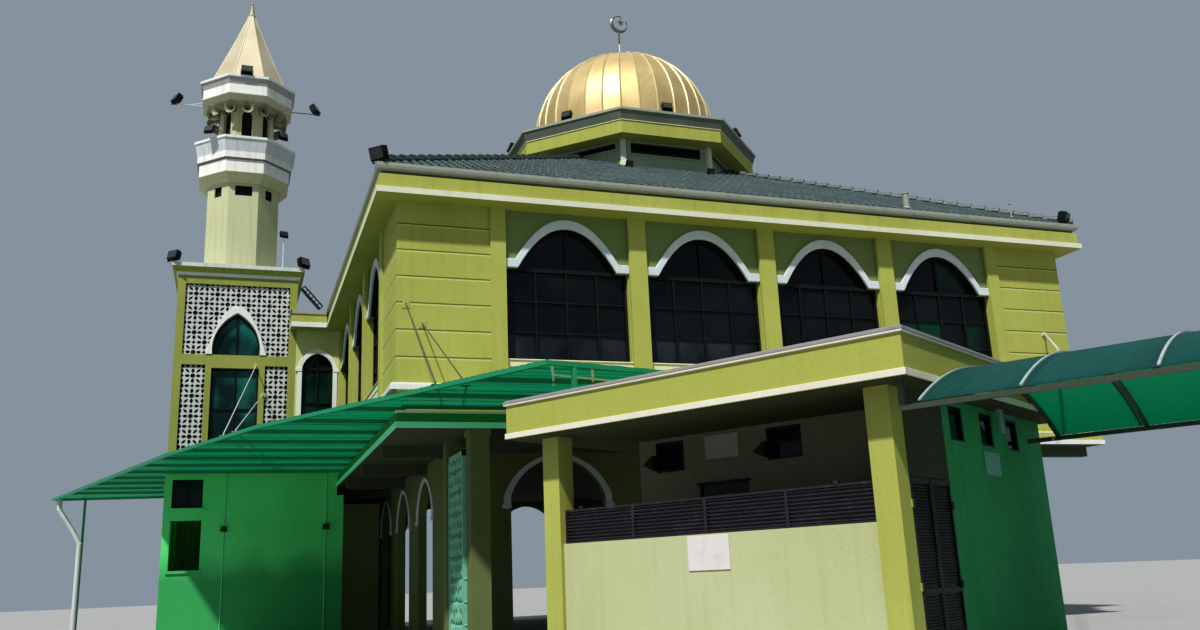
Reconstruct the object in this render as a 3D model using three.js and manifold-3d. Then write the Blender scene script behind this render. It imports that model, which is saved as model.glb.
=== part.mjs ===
// A mosque: a square domed prayer hall over an open ground floor, a minaret joined to it by a short
// link, a green awning beside them, and a small annex with a curved canopy along the street.
// Millimetres, +Z up. The origin is at ground level under the middle of the prayer hall; -Y is the
// front of the hall. The annex and its canopy stand in a frame of their own, turned to the street.
import * as THREE from 'three';
import { mergeVertices } from 'three/addons/utils/BufferGeometryUtils.js';
import Module from 'manifold-3d';

const wasm = await Module();
wasm.setup();

// Driving dimensions
const GAP = 0.3; // joint left between two pieces that touch
const QUARTER = Math.PI / 2;
const EIGHTH = Math.PI / 8;

const FLOOR_TOP = 150;
const FIRST_SLAB_BOTTOM = 4230;
const FIRST_FLOOR = 4500;
const EAVE_BOTTOM = 9430;
const EAVE_TOP = 10110;

const HALL_HALF = 8700;
const WALL = 250;
const BAY = 3320;
const BAY_CENTRES = [-1.5 * BAY, -0.5 * BAY, 0.5 * BAY, 1.5 * BAY];
const PILASTER_LINES = [-BAY, 0, BAY];
const PILASTER_WIDTH = 420;
const END_PILASTER = { inner: 6410, outer: 6750 };
const PILASTER_PROUD = 120;
const CORNER_PANEL_PROUD = 60;

const WINDOW = { half: 1430, sill: 6070, head: 8120, archHalf: 1140, rise: 960 };
const ARCH_BULGE = 0.155; // sagitta of each half of a pointed arch, as a share of its chord
const ARCH_STEPS = 6;
const GLASS_THICKNESS = 12;

const GROUND_HALF = 7500;
const GROUND_WALL = 200;
const GROUND_ARCH = { half: 1090, spring: 3280, rise: 830 };
const GROUND_SIDE_ARCH = { half: 950, spring: 3150, rise: 700 };

const SLAB_HALF = 9080;
const VERANDAH_FRONT = -11100;
const VERANDAH_COLUMN = 360;
const VERANDAH_COLUMN_X = [-7560, -2520, 2520];
const VERANDAH_RIGHT = 4100;
const VERANDAH_SCREEN = { x: -7800, thickness: 50, back: -9350, top: 3880, post: 300 };
const CANTILEVER_BEAM = { width: 220, depth: 240, first: -8450, count: 6 };

const EAVE_HALF = 9250;
const EAVE_INNER = 8400;
const ROOF_HALF = 9150;
const ROOF_SLOPE = 0.522;
const ROOF_THICKNESS = 160;

const DRUM_HALF = 3330;
const DRUM_WALL = 220;
const DRUM_TOP = 13980;
const DRUM_WINDOW = { half: 1130, top: 13930, sill: 13580, diagonalSill: 13740 };
const LANTERN_EAVE = { lower: 3860, upper: 3955, step: 14410, rim: 14660, top: 14750, hole: 2740 };
const DOME = { radius: 2950, thickness: 60, springing: 15440, gores: 32 };
const DOME_FINIAL = { pole: 32, top: 19600, ball: 95, crescent: 300 };

const MINARET = { x: -11900, y: 5020, half: 1770, wall: 200, top: 11070 };
const LATTICE = { depth: 60, thickness: 40, bottom: 5200, top: 10790, half: 1540 };
const LATTICE_BAND = { bottom: 8240, top: 8560 };
const LATTICE_STRIP_INNER = 865;
const MINARET_WINDOW = { half: 690, sill: 5400, top: 8150 };
const MINARET_ARCH = { half: 690, rise: 1290 };
const MINARET_CORNICE = { lower: 1790, half: 1960, rim: 11290, top: 11410 };
const SHAFT = { half: 1115, wall: 160, top: 14455, portBottom: 14030, portTop: 14370, portHalf: 150, widePortHalf: 265 };
const BALCONY = { hole: 700, soffit: 1160, lower: 1415, middle: 1480, upper: 1573, rail: 120 };
const BALCONY_Z = { corbel: 14730, lowerTop: 15150, middle: 15200, floor: 15360, flare: 15420, rim: 15850, top: 15910 };
const TURRET = { half: 858, wall: 120, top: 17340, portBottom: 15600, portSpring: 16900, portRise: 300 };
const TURRET_PORT_HALF = 160;
const TOP_CORNICE = { soffit: 1250, lower: 1420, upper: 1500, corbel: 17500, step: 17830, rim: 18080, top: 18130 };
const SPIRE = { base: 1240, wall: 50, tip: 21360 };
const SPIRE_FINIAL = { pole: 25, top: 21900, ball: 70, crescent: 150 };

const LINK = { left: -10130, right: -8820, front: 3250, wall: 200, eaveFront: 2800, eaveLeft: -10320 };
const LINK_ARCH = { x: -9460, half: 470, sill: 6070, spring: 8200, rise: 490 };
const LINK_ROOF_TOP = 9950;

const ROOM = { left: -13500, right: -8900, front: 0, wall: 200, top: 4610 };
const ROOM_WINDOW = { left: -13310, right: -12550, sill: 3700, top: 4450 };
const ROOM_HATCH = { sill: 2100, top: 3380 };

const AWNING_BOTTOM = 4680;
const AWNING_THICKNESS = 12;
const AWNING_BAR = 70;
// the awning's corners in plan, from its right end along the street side and back along the hall
const AWNING_OUTER = [[-7430, -15050], [-11420, -8250], [-13360, -3570], [-17340, 8200]];
const AWNING_INNER = [[-13700, 7600], [-13700, 3200], [-8870, 3200], [-8870, -10800], [-3250, -10800], [-3250, -14000]];
const AWNING_RAFTERS = Array.from({ length: 14 }, (unused, index) => -13600 + index * 1500);
const AWNING_POSTS = [[-8915, -10845], [-8915, -6300], [-8915, -1900], [-8915, 2400], [-3295, -10845]];
// short posts that stand on the annex roof
const AWNING_ROOF_POSTS = [[-6953, -14894], [-3753, -14090]];
const AWNING_STREET_POST = [-16330, 7990];
const STAY_RADIUS = 14;

// The annex: x runs along the street from the left column, y away from the street
const ANNEX_PLACE = { x: -7614, y: -15341, turn: THREE.MathUtils.degToRad(-59.5) };
const ANNEX = { length: 5300, column: 300, depth: 5100, soffit: 3450, roofTop: 3990, wall: 150 };
const ANNEX_ROOF = { left: -320, right: 5690, front: -400, back: 5350, slab: 120, upstand: 110 };
const LOW_WALL = { front: 60, back: 210, top: 1960 };
const LOUVRE = { front: 110, back: 150, top: 2420 };
const INNER_WALL = { left: 550, front: 1550 };
const HOPPER_WINDOWS = [[860, 1370], [2770, 3310]];
const HOPPER = { sill: 2950, top: 3390 };
const LOW_SLOT = { left: 1610, right: 2440, sill: 2500, top: 2710 };
const SIDE_WINDOWS = { centres: [1900, 2930, 3910], half: 225, sill: 2950, top: 3380 };
const DOORWAY = { end: 1450, top: 2450 };
const LEAF = { thickness: 40, inset: 20, bottom: 8, clear: 8, meeting: 12 };
const HINGE = { radius: 9, height: 90, levels: [300, 1200, 2100] };

const CANOPY = { left: 5700, right: 12650, front: -200, back: 4600, low: 3170, rise: 630, sheet: 12 };
const CANOPY_STEPS = 12;
const CANOPY_RIBS = 7;
const CANOPY_POSTS = [9200, 12610];
const CANOPY_BAR = 50;
const CANOPY_BEAM_LEFT = 5500; // it hangs from the annex roof's overhang here

// Materials
function paint(color, roughness, metalness = 0) {
  return new THREE.MeshStandardMaterial({ color, roughness, metalness });
}
const lime = paint('#a9b24c', 0.85);
const limeTrim = paint('#98a53f', 0.85);
const paleLime = paint('#c3cc94', 0.85);
const cream = paint('#cdcb94', 0.8);
const white = paint('#e6e6e0', 0.7);
const floorGrey = paint('#a9aaa2', 0.9);
const tile = paint('#2f4a46', 0.6);
const gold = paint('#c7a557', 0.3, 0.9);
const glass = paint('#16302c', 0.1);
const greenSheet = paint('#0c7a56', 0.35);
const steel = paint('#8c918d', 0.45, 0.8);
const louvreBlack = paint('#222329', 0.5);
const shadedGreen = paint('#2f7a35', 0.85);

// Solids
function toSolid(geometry) {
  const bare = geometry.clone();
  bare.deleteAttribute('normal');
  bare.deleteAttribute('uv');
  const merged = mergeVertices(bare, 1e-3);
  return new wasm.Manifold(
    new wasm.Mesh({
      numProp: 3,
      vertProperties: Float32Array.from(merged.attributes.position.array),
      triVerts: Uint32Array.from(merged.index.array),
    }),
  );
}

function toGeometry(solid) {
  const mesh = solid.getMesh();
  const geometry = new THREE.BufferGeometry();
  geometry.setAttribute('position', new THREE.BufferAttribute(mesh.vertProperties, 3));
  geometry.setIndex(new THREE.BufferAttribute(mesh.triVerts, 1));
  geometry.computeVertexNormals();
  return geometry;
}

function box(x0, x1, y0, y1, z0, z1) {
  const geometry = new THREE.BoxGeometry(x1 - x0, y1 - y0, z1 - z0);
  return toSolid(geometry.translate((x0 + x1) / 2, (y0 + y1) / 2, (z0 + z1) / 2));
}

function rectangle(x0, x1, y0, y1, Kind = THREE.Shape) {
  return new Kind()
    .moveTo(x0, y0)
    .lineTo(x1, y0)
    .lineTo(x1, y1)
    .lineTo(x0, y1)
    .closePath();
}

function polygon(points) {
  return new THREE.Shape(points.map(([x, y]) => new THREE.Vector2(x, y)));
}

// a drawing on the plan, raised from z0 to z1
function plan(shape, z0, z1) {
  const geometry = new THREE.ExtrudeGeometry(shape, { depth: z1 - z0, bevelEnabled: false });
  return toSolid(geometry.translate(0, 0, z0));
}

// a drawing on the elevation, from its front face at y0 to its back face at y1
function elevation(shape, y0, y1) {
  const geometry = new THREE.ExtrudeGeometry(shape, { depth: y1 - y0, bevelEnabled: false });
  return toSolid(geometry.rotateX(QUARTER).translate(0, y1, 0));
}

// an upright wall from its outline, with each opening cut right through it
function pierced(outline, openings, y0, y1) {
  let wall = elevation(outline, y0, y1);
  for (const opening of openings) wall = wall.subtract(elevation(opening, y0 - 50, y1 + 50));
  return wall;
}

// a profile of [apothem, height] points turned round an upright axis into a body with flat sides
function sided(points, sides, x, y) {
  const half = Math.PI / sides;
  const profile = points.map(([apothem, z]) => new THREE.Vector2(apothem / Math.cos(half), z));
  const geometry = new THREE.LatheGeometry(profile, sides);
  return toSolid(geometry.rotateX(QUARTER).rotateZ(half).translate(x, y, 0));
}

function octagonal(points, x = 0, y = 0) {
  return sided(points, 8, x, y);
}

function squareTurned(points, x, y) {
  return sided(points, 4, x, y);
}

function ring(profile) {
  return [...profile, profile[0]];
}

function octagonalTube(apothem, wall, z0, z1, x, y) {
  const inner = apothem - wall;
  return octagonal(ring([[inner, z0], [apothem, z0], [apothem, z1], [inner, z1]]), x, y);
}

function squareTube(half, wall, z0, z1, x, y) {
  const shape = rectangle(x - half, x + half, y - half, y + half);
  const inner = half - wall;
  shape.holes.push(rectangle(x - inner, x + inner, y - inner, y + inner, THREE.Path));
  return plan(shape, z0, z1);
}

// a solid turned by whole steps of angle about an upright axis
function turned(solid, angle, x = 0, y = 0) {
  const geometry = toGeometry(solid);
  geometry.translate(-x, -y, 0).rotateZ(angle).translate(x, y, 0);
  return toSolid(geometry);
}

// a straight round bar between two points
function bar(from, to, radius, sides = 8) {
  const start = new THREE.Vector3(...from);
  const end = new THREE.Vector3(...to);
  const along = end.clone().sub(start);
  const geometry = new THREE.CylinderGeometry(radius, radius, along.length(), sides);
  const turn = new THREE.Quaternion().setFromUnitVectors(new THREE.Vector3(0, 1, 0), along.clone().normalize());
  const middle = start.add(end).multiplyScalar(0.5);
  return toSolid(geometry.applyQuaternion(turn).translate(middle.x, middle.y, middle.z));
}

// The right half of a pointed arch is one arc from (half, 0) to (0, rise); the left half mirrors it.
function archCurve(half, rise) {
  const chord = Math.hypot(half, rise);
  const sagitta = chord * ARCH_BULGE;
  const radius = chord ** 2 / (8 * sagitta) + sagitta / 2;
  const centreX = half / 2 - (rise / chord) * (radius - sagitta);
  const centreZ = rise / 2 - (half / chord) * (radius - sagitta);
  const start = Math.atan2(-centreZ, half - centreX);
  const end = Math.atan2(rise - centreZ, -centreX);
  const right = [];
  for (let step = 0; step <= ARCH_STEPS; step += 1) {
    const angle = start + ((end - start) * step) / ARCH_STEPS;
    right.push([centreX + radius * Math.cos(angle), centreZ + radius * Math.sin(angle)]);
  }
  const left = right.slice(0, -1).reverse().map(([x, z]) => [-x, z]);
  return [...right, ...left];
}

function arch(x, half, sill, spring, rise, curve = archCurve) {
  const edge = curve(half, rise).map(([across, up]) => [x + across, spring + up]);
  return polygon([[x - half, sill], [x + half, sill], ...edge]);
}

// The hall's window arches have straight legs and a round head, close to a parabola.
function roundCurve(half, rise) {
  return Array.from({ length: 2 * ARCH_STEPS + 1 }, (unused, step) => {
    const across = 1 - step / ARCH_STEPS;
    return [half * across, rise * (1 - Math.abs(across) ** 2.1)];
  });
}

function named(name, solid, material) {
  const mesh = new THREE.Mesh(toGeometry(solid), material);
  mesh.name = name;
  return mesh;
}

// Prayer hall, ground floor
function groundWall(length, arches, outer) {
  const { half, spring, rise } = arches;
  const outline = rectangle(-length, length, 0, FIRST_SLAB_BOTTOM - GAP);
  const openings = BAY_CENTRES.map((x) => arch(x, half, -50, spring, rise));
  return pierced(outline, openings, outer, outer + GROUND_WALL);
}

function groundFloor() {
  const end = groundWall(GROUND_HALF, GROUND_ARCH, -GROUND_HALF);
  const side = groundWall(GROUND_HALF - GROUND_WALL - GAP, GROUND_SIDE_ARCH, -GROUND_HALF);
  const inside = GROUND_HALF - GROUND_WALL - GAP;
  return [
    named('ground_floor_slab', box(-inside, inside, -inside, inside, 0, FLOOR_TOP), floorGrey),
    named('ground_front_wall', end, lime),
    named('ground_right_wall', turned(side, QUARTER), lime),
    named('ground_back_wall', turned(end, 2 * QUARTER), lime),
    named('ground_left_wall', turned(side, -QUARTER), lime),
  ];
}

// The first floor's slab carries the hall's upper walls, runs out over the verandah on the left and
// stands on short beams where it overhangs the ground-floor side walls.
function firstFloorSlab() {
  let slab = box(-SLAB_HALF, SLAB_HALF, -SLAB_HALF, SLAB_HALF, FIRST_SLAB_BOTTOM, FIRST_FLOOR)
    .add(box(-SLAB_HALF, VERANDAH_RIGHT, VERANDAH_FRONT, 0, FIRST_SLAB_BOTTOM, FIRST_FLOOR));
  for (let index = 0; index < CANTILEVER_BEAM.count; index += 1) {
    const y = CANTILEVER_BEAM.first + index * BAY;
    const front = y - CANTILEVER_BEAM.width / 2;
    const bottom = FIRST_SLAB_BOTTOM - CANTILEVER_BEAM.depth;
    for (const side of [-1, 1]) {
      const ends = [side * (GROUND_HALF + GAP), side * (SLAB_HALF - 80)].sort((a, b) => a - b);
      slab = slab.add(box(ends[0], ends[1], front, front + CANTILEVER_BEAM.width, bottom, FIRST_FLOOR));
    }
  }
  const linkPassage = box(
    LINK.left - BAY, LINK.right, LINK.front - GAP, MINARET.y + MINARET.half + GAP, 0, EAVE_BOTTOM,
  );
  return slab.subtract(linkPassage);
}

function verandah() {
  const y = VERANDAH_FRONT + VERANDAH_COLUMN / 2 + 20;
  const half = VERANDAH_COLUMN / 2;
  const columns = VERANDAH_COLUMN_X.map((x, index) => named(
    `verandah_column_${index + 1}`,
    box(x - half, x + half, y - half, y + half, 0, FIRST_SLAB_BOTTOM - GAP),
    lime,
  ));
  const { x: screenX, thickness, back, top, post } = VERANDAH_SCREEN;
  const screen = box(screenX, screenX + thickness, y - half + 20, back - GAP, 0, top)
    .subtract(box(VERANDAH_COLUMN_X[0] - half - GAP, 0, y - half - GAP, y + half + GAP, -10, top + 10));
  return [
    named('first_floor_slab', firstFloorSlab(), limeTrim),
    ...columns,
    named('verandah_lattice_screen', screen, white),
    named('verandah_screen_post', box(screenX - 50, screenX + post - 50, back, back + post, 0, FIRST_SLAB_BOTTOM - GAP), lime),
  ];
}

// Prayer hall, upper floor
function upperWall(length, panelEnd) {
  const { half: opening, sill, head, archHalf, rise } = WINDOW;
  const outline = rectangle(-length, length, FIRST_FLOOR + GAP, EAVE_BOTTOM - GAP);
  const lights = BAY_CENTRES.map((x) => rectangle(x - opening, x + opening, sill, head));
  const arches = BAY_CENTRES.map((x) => arch(x, archHalf, head - 10, head, rise, roundCurve));
  let wall = pierced(outline, [...lights, ...arches], -HALL_HALF, -HALL_HALF + WALL);
  const half = PILASTER_WIDTH / 2;
  const bottom = FIRST_FLOOR + GAP;
  const top = EAVE_BOTTOM - GAP;
  for (const x of PILASTER_LINES) {
    wall = wall.add(box(x - half, x + half, -HALL_HALF - PILASTER_PROUD, -HALL_HALF + 10, bottom, top));
  }
  const { inner, outer } = END_PILASTER;
  const panelStart = outer - 10;
  for (const side of [-1, 1]) {
    const pilaster = [side * inner, side * outer].sort((a, b) => a - b);
    wall = wall.add(box(...pilaster, -HALL_HALF - PILASTER_PROUD, -HALL_HALF + 10, bottom, top));
    const ends = [side * panelStart, side * panelEnd].sort((a, b) => a - b);
    const inside = Math.min(length, panelEnd);
    const panel = box(ends[0], ends[1], -HALL_HALF - CORNER_PANEL_PROUD, -HALL_HALF, bottom, top);
    const root = [side * panelStart, side * inside].sort((a, b) => a - b);
    wall = wall.add(panel).add(box(root[0], root[1], -HALL_HALF - 1, -HALL_HALF + 10, bottom, top));
  }
  return wall;
}

function upperFloor() {
  const end = upperWall(HALL_HALF, HALL_HALF + CORNER_PANEL_PROUD);
  const side = upperWall(HALL_HALF - WALL - GAP, HALL_HALF - GAP);
  const inside = HALL_HALF - WALL - GAP;
  return [
    named('hall_front_wall', end, lime),
    named('hall_right_wall', turned(side, QUARTER), lime),
    named('hall_back_wall', turned(end, 2 * QUARTER), lime),
    named('hall_left_wall', turned(side, -QUARTER), lime),
    named('hall_window_glass', squareTube(inside, GLASS_THICKNESS, WINDOW.sill - 60, 9200, 0, 0), glass),
  ];
}

// Roof, lantern and dome
function pyramid(half, base, lift = 0) {
  const height = half * ROOF_SLOPE;
  const geometry = new THREE.ConeGeometry(half * Math.SQRT2, height, 4);
  return toSolid(geometry.rotateX(QUARTER).rotateZ(QUARTER / 2).translate(0, 0, base + height / 2 + lift));
}

function hippedRoof() {
  const outer = pyramid(ROOF_HALF, EAVE_TOP + GAP);
  const inner = pyramid(ROOF_HALF, EAVE_TOP + GAP, -ROOF_THICKNESS);
  const opening = octagonal([[0, EAVE_TOP], [DRUM_HALF - DRUM_WALL, EAVE_TOP], [DRUM_HALF - DRUM_WALL, 20000], [0, 20000]]);
  return outer.subtract(inner).subtract(opening);
}

function drum() {
  let wall = octagonalTube(DRUM_HALF, DRUM_WALL, EAVE_TOP + 2000, DRUM_TOP, 0, 0);
  for (let side = 0; side < 8; side += 1) {
    const sill = side % 2 === 0 ? DRUM_WINDOW.sill : DRUM_WINDOW.diagonalSill;
    const cut = box(-DRUM_WINDOW.half, DRUM_WINDOW.half, -DRUM_HALF - 100, -DRUM_HALF + 400, sill, DRUM_WINDOW.top);
    wall = wall.subtract(turned(cut, side * 2 * EIGHTH));
  }
  return wall.subtract(pyramid(ROOF_HALF, EAVE_TOP + GAP, GAP));
}

function crescent(radius, x, y, z, depth) {
  const outer = new THREE.Shape().absarc(0, 0, radius, 0, Math.PI * 2);
  const inner = new THREE.Shape().absarc(radius * 0.1, radius * 0.3, radius * 0.8, 0, Math.PI * 2);
  const settings = { depth, bevelEnabled: false, curveSegments: 14 };
  const moon = toSolid(new THREE.ExtrudeGeometry(outer, settings))
    .subtract(toSolid(new THREE.ExtrudeGeometry(inner, { ...settings, depth: depth * 3 }).translate(0, 0, -depth)));
  const geometry = toGeometry(moon).rotateX(QUARTER).translate(x, y + depth / 2, z + radius);
  return toSolid(geometry);
}

function finial(place, from) {
  const { x, y } = place;
  const ball = toSolid(new THREE.SphereGeometry(place.ball, 12, 8).translate(x, y, from + (place.top - from) * 0.62));
  return bar([x, y, from], [x, y, place.top], place.pole)
    .add(ball)
    .add(crescent(place.crescent, x, y, place.top - 20, place.pole * 1.6));
}

function dome() {
  const { radius, thickness, springing, gores } = DOME;
  const base = LANTERN_EAVE.top + GAP;
  const steps = 8;
  const arc = (r) => Array.from({ length: steps + 1 }, (unused, step) => {
    const angle = (step / steps) * QUARTER;
    return new THREE.Vector2(step === steps ? 0 : r * Math.cos(angle), springing + r * Math.sin(angle));
  });
  const inside = arc(radius - thickness).reverse();
  const profile = [
    ...inside,
    new THREE.Vector2(radius - thickness, base),
    new THREE.Vector2(radius, base),
    ...arc(radius),
  ];
  return toSolid(new THREE.LatheGeometry(profile, gores).rotateX(QUARTER));
}

function roofs() {
  const eaveShape = rectangle(-EAVE_HALF, EAVE_HALF, -EAVE_HALF, EAVE_HALF);
  eaveShape.holes.push(rectangle(-EAVE_INNER, EAVE_INNER, -EAVE_INNER, EAVE_INNER, THREE.Path));
  const { lower, upper, step, rim, top, hole } = LANTERN_EAVE;
  const lanternEave = octagonal(ring([
    [hole, DRUM_TOP + GAP], [lower, DRUM_TOP + GAP], [lower, step], [upper, rim], [upper, top], [hole, top],
  ]));
  const drumGlass = octagonalTube(DRUM_HALF - DRUM_WALL - GAP, GLASS_THICKNESS, DRUM_WINDOW.sill - 60, DRUM_TOP - GAP, 0, 0);
  const domeTop = DOME.springing + DOME.radius;
  return [
    named('hall_eave', plan(eaveShape, EAVE_BOTTOM, EAVE_TOP), limeTrim),
    named('hall_tiled_roof', hippedRoof(), tile),
    named('lantern_drum', drum(), lime),
    named('lantern_window_glass', drumGlass, glass),
    named('lantern_eave', lanternEave, limeTrim),
    named('dome', dome(), gold),
    named('dome_finial', finial({ ...DOME_FINIAL, x: 0, y: 0 }, domeTop + GAP), steel),
  ];
}

// Minaret
function minaretLatticeCuts() {
  const { x, y, half } = MINARET;
  const face = y - half;
  const arched = arch(x, MINARET_ARCH.half, LATTICE_BAND.top, LATTICE_BAND.top + 10, MINARET_ARCH.rise);
  const windows = elevation(arched, face - 10, face + 400).add(box(
    x - MINARET_WINDOW.half, x + MINARET_WINDOW.half, face - 10, face + 400, MINARET_WINDOW.sill, MINARET_WINDOW.top,
  ));
  let panels = box(
    x - LATTICE.half, x + LATTICE.half, face - 10, face + LATTICE.depth, LATTICE_BAND.top, LATTICE.top,
  );
  for (const side of [-1, 1]) {
    const ends = [x + side * LATTICE_STRIP_INNER, x + side * LATTICE.half].sort((a, b) => a - b);
    panels = panels.add(box(ends[0], ends[1], face - 10, face + LATTICE.depth, LATTICE.bottom, LATTICE_BAND.bottom));
  }
  return { windows, panels };
}

function minaretBase() {
  const { x, y, half, wall, top } = MINARET;
  const { windows, panels } = minaretLatticeCuts();
  const screenHalf = half - LATTICE.depth;
  let base = squareTube(half, wall, 0, top, x, y);
  const slot = squareTube(screenHalf + GAP, LATTICE.thickness + 2 * GAP, LATTICE.bottom - 50 - GAP, LATTICE.top + 50 + GAP, x, y);
  base = base.subtract(slot);
  let screen = squareTube(screenHalf, LATTICE.thickness, LATTICE.bottom - 50, LATTICE.top + 50, x, y);
  for (let side = 0; side < 4; side += 1) {
    const opening = turned(windows, side * QUARTER, x, y);
    base = base.subtract(opening).subtract(turned(panels, side * QUARTER, x, y));
    screen = screen.subtract(opening);
  }
  const inner = half - wall - GAP;
  return [
    named('minaret_base', base, lime),
    named('minaret_lattice', screen, white),
    named('minaret_window_glass', squareTube(inner, GLASS_THICKNESS, MINARET_WINDOW.sill - 60, 10000, x, y), glass),
  ];
}

function portCuts(path, x, y, apothem) {
  const cut = elevation(path, y - apothem - 50, y - apothem + 400);
  return Array.from({ length: 8 }, (unused, side) => turned(cut, side * 2 * EIGHTH, x, y));
}

function minaret() {
  const { x, y, top } = MINARET;
  let shaft = octagonalTube(SHAFT.half, SHAFT.wall, MINARET_CORNICE.top + GAP, SHAFT.top, x, y);
  const ports = [SHAFT.widePortHalf, SHAFT.portHalf].map((half) => (
    portCuts(rectangle(x - half, x + half, SHAFT.portBottom, SHAFT.portTop), x, y, SHAFT.half)
  ));
  for (let side = 0; side < 8; side += 1) shaft = shaft.subtract(ports[side % 2][side]);
  const balcony = octagonal(ring([
    [BALCONY.hole, SHAFT.top + GAP], [BALCONY.soffit, SHAFT.top + GAP],
    [BALCONY.lower, BALCONY_Z.corbel], [BALCONY.lower, BALCONY_Z.lowerTop],
    [BALCONY.middle, BALCONY_Z.middle], [BALCONY.middle, BALCONY_Z.flare],
    [BALCONY.upper, BALCONY_Z.rim], [BALCONY.upper, BALCONY_Z.top],
    [BALCONY.upper - BALCONY.rail, BALCONY_Z.top], [BALCONY.middle - BALCONY.rail, BALCONY_Z.flare],
    [BALCONY.middle - BALCONY.rail, BALCONY_Z.floor], [BALCONY.hole, BALCONY_Z.floor],
  ]), x, y);
  let turret = octagonalTube(TURRET.half, TURRET.wall, BALCONY_Z.floor + GAP, TURRET.top, x, y);
  const doorway = arch(x, TURRET_PORT_HALF, TURRET.portBottom, TURRET.portSpring, TURRET.portRise);
  for (const cut of portCuts(doorway, x, y, TURRET.half)) turret = turret.subtract(cut);
  const cornice = octagonal([
    [0, TURRET.top + GAP], [TOP_CORNICE.soffit, TURRET.top + GAP], [TOP_CORNICE.lower, TOP_CORNICE.corbel],
    [TOP_CORNICE.lower, TOP_CORNICE.step], [TOP_CORNICE.upper, TOP_CORNICE.rim],
    [TOP_CORNICE.upper, TOP_CORNICE.top], [0, TOP_CORNICE.top],
  ], x, y);
  const spireBase = TOP_CORNICE.top + GAP;
  const spire = octagonal([
    [0, SPIRE.tip - 4 * SPIRE.wall], [SPIRE.base - SPIRE.wall, spireBase], [SPIRE.base, spireBase], [0, SPIRE.tip],
  ], x, y).add(finial({ ...SPIRE_FINIAL, x, y }, SPIRE.tip - 60));
  return [
    ...minaretBase(),
    named('minaret_cornice', squareTurned([
      [0, top + GAP], [MINARET_CORNICE.lower, top + GAP], [MINARET_CORNICE.half, MINARET_CORNICE.rim],
      [MINARET_CORNICE.half, MINARET_CORNICE.top], [0, MINARET_CORNICE.top],
    ], x, y), limeTrim),
    named('minaret_shaft', shaft, cream),
    named('minaret_balcony', balcony, white),
    named('minaret_turret', turret, cream),
    named('minaret_top_cornice', cornice, white),
    named('minaret_spire', spire, gold),
  ];
}

// Link between the minaret and the hall
function link() {
  const left = LINK.left + GAP;
  const right = LINK.right - GAP;
  const back = MINARET.y + MINARET.half;
  const front = polygon([
    [left, 0], [-GROUND_HALF - GAP, 0], [-GROUND_HALF - GAP, FIRST_SLAB_BOTTOM - CANTILEVER_BEAM.depth - GAP],
    [right, FIRST_SLAB_BOTTOM - CANTILEVER_BEAM.depth - GAP], [right, EAVE_BOTTOM - GAP], [left, EAVE_BOTTOM - GAP],
  ]);
  const window = arch(LINK_ARCH.x, LINK_ARCH.half, LINK_ARCH.sill, LINK_ARCH.spring, LINK_ARCH.rise);
  const sheet = box(
    LINK_ARCH.x - LINK_ARCH.half - 60, LINK_ARCH.x + LINK_ARCH.half + 60,
    LINK.front + LINK.wall + GAP, LINK.front + LINK.wall + GAP + GLASS_THICKNESS, LINK_ARCH.sill - 60, 8800,
  );
  const minaretBlock = box(
    MINARET.x - MINARET.half, LINK.left + GAP, LINK.front - GAP, back + GAP, EAVE_BOTTOM - 100, LINK_ROOF_TOP + 100,
  );
  const roof = box(LINK.eaveLeft, -EAVE_HALF - GAP, LINK.eaveFront, back, EAVE_BOTTOM, LINK_ROOF_TOP).subtract(minaretBlock);
  return [
    named('link_front_wall', pierced(front, [window], LINK.front, LINK.front + LINK.wall), paleLime),
    named('link_back_wall', box(left, right, back - LINK.wall, back, 0, EAVE_BOTTOM - GAP), lime),
    named('link_window_glass', sheet, glass),
    named('link_roof', roof, limeTrim),
  ];
}

// Ground-floor room in front of the minaret, roofed by the awning
function sideRoom() {
  const { left, right, front, wall, top } = ROOM;
  const under = FIRST_SLAB_BOTTOM - CANTILEVER_BEAM.depth - GAP;
  const ceiling = top - GAP;
  const slabEdge = -SLAB_HALF - GAP;
  const face = polygon([[left, 0], [right, 0], [right, under], [slabEdge, under], [slabEdge, ceiling], [left, ceiling]]);
  const openings = [ROOM_WINDOW, ROOM_HATCH].map(({ sill, top: head }) => (
    rectangle(ROOM_WINDOW.left, ROOM_WINDOW.right, sill, head)
  ));
  const backY = LINK.front - GAP;
  return [
    named('side_room_front_wall', pierced(face, openings, front, front + wall), shadedGreen),
    named('side_room_left_wall', box(left, left + wall, front + wall + GAP, backY, 0, ceiling), shadedGreen),
    named('side_room_right_wall', box(right - wall, right, front + wall + GAP, backY, 0, under), shadedGreen),
  ];
}

// Awning between the hall and the street
// the same outline drawn a set distance further in, with mitred corners
function inset(points, distance) {
  const direction = (from, to) => new THREE.Vector2(to[0] - from[0], to[1] - from[1]).normalize();
  const clockwise = THREE.ShapeUtils.isClockWise(points.map(([x, y]) => new THREE.Vector2(x, y)));
  const turn = clockwise ? -1 : 1;
  return points.map((point, index) => {
    const before = direction(points.at(index - 1), point);
    const after = direction(point, points[(index + 1) % points.length]);
    const normalA = new THREE.Vector2(-before.y, before.x).multiplyScalar(turn);
    const normalB = new THREE.Vector2(-after.y, after.x).multiplyScalar(turn);
    const mitre = normalA.clone().add(normalB).normalize();
    const reach = distance / mitre.dot(normalA);
    return [point[0] + mitre.x * reach, point[1] + mitre.y * reach];
  });
}

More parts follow.
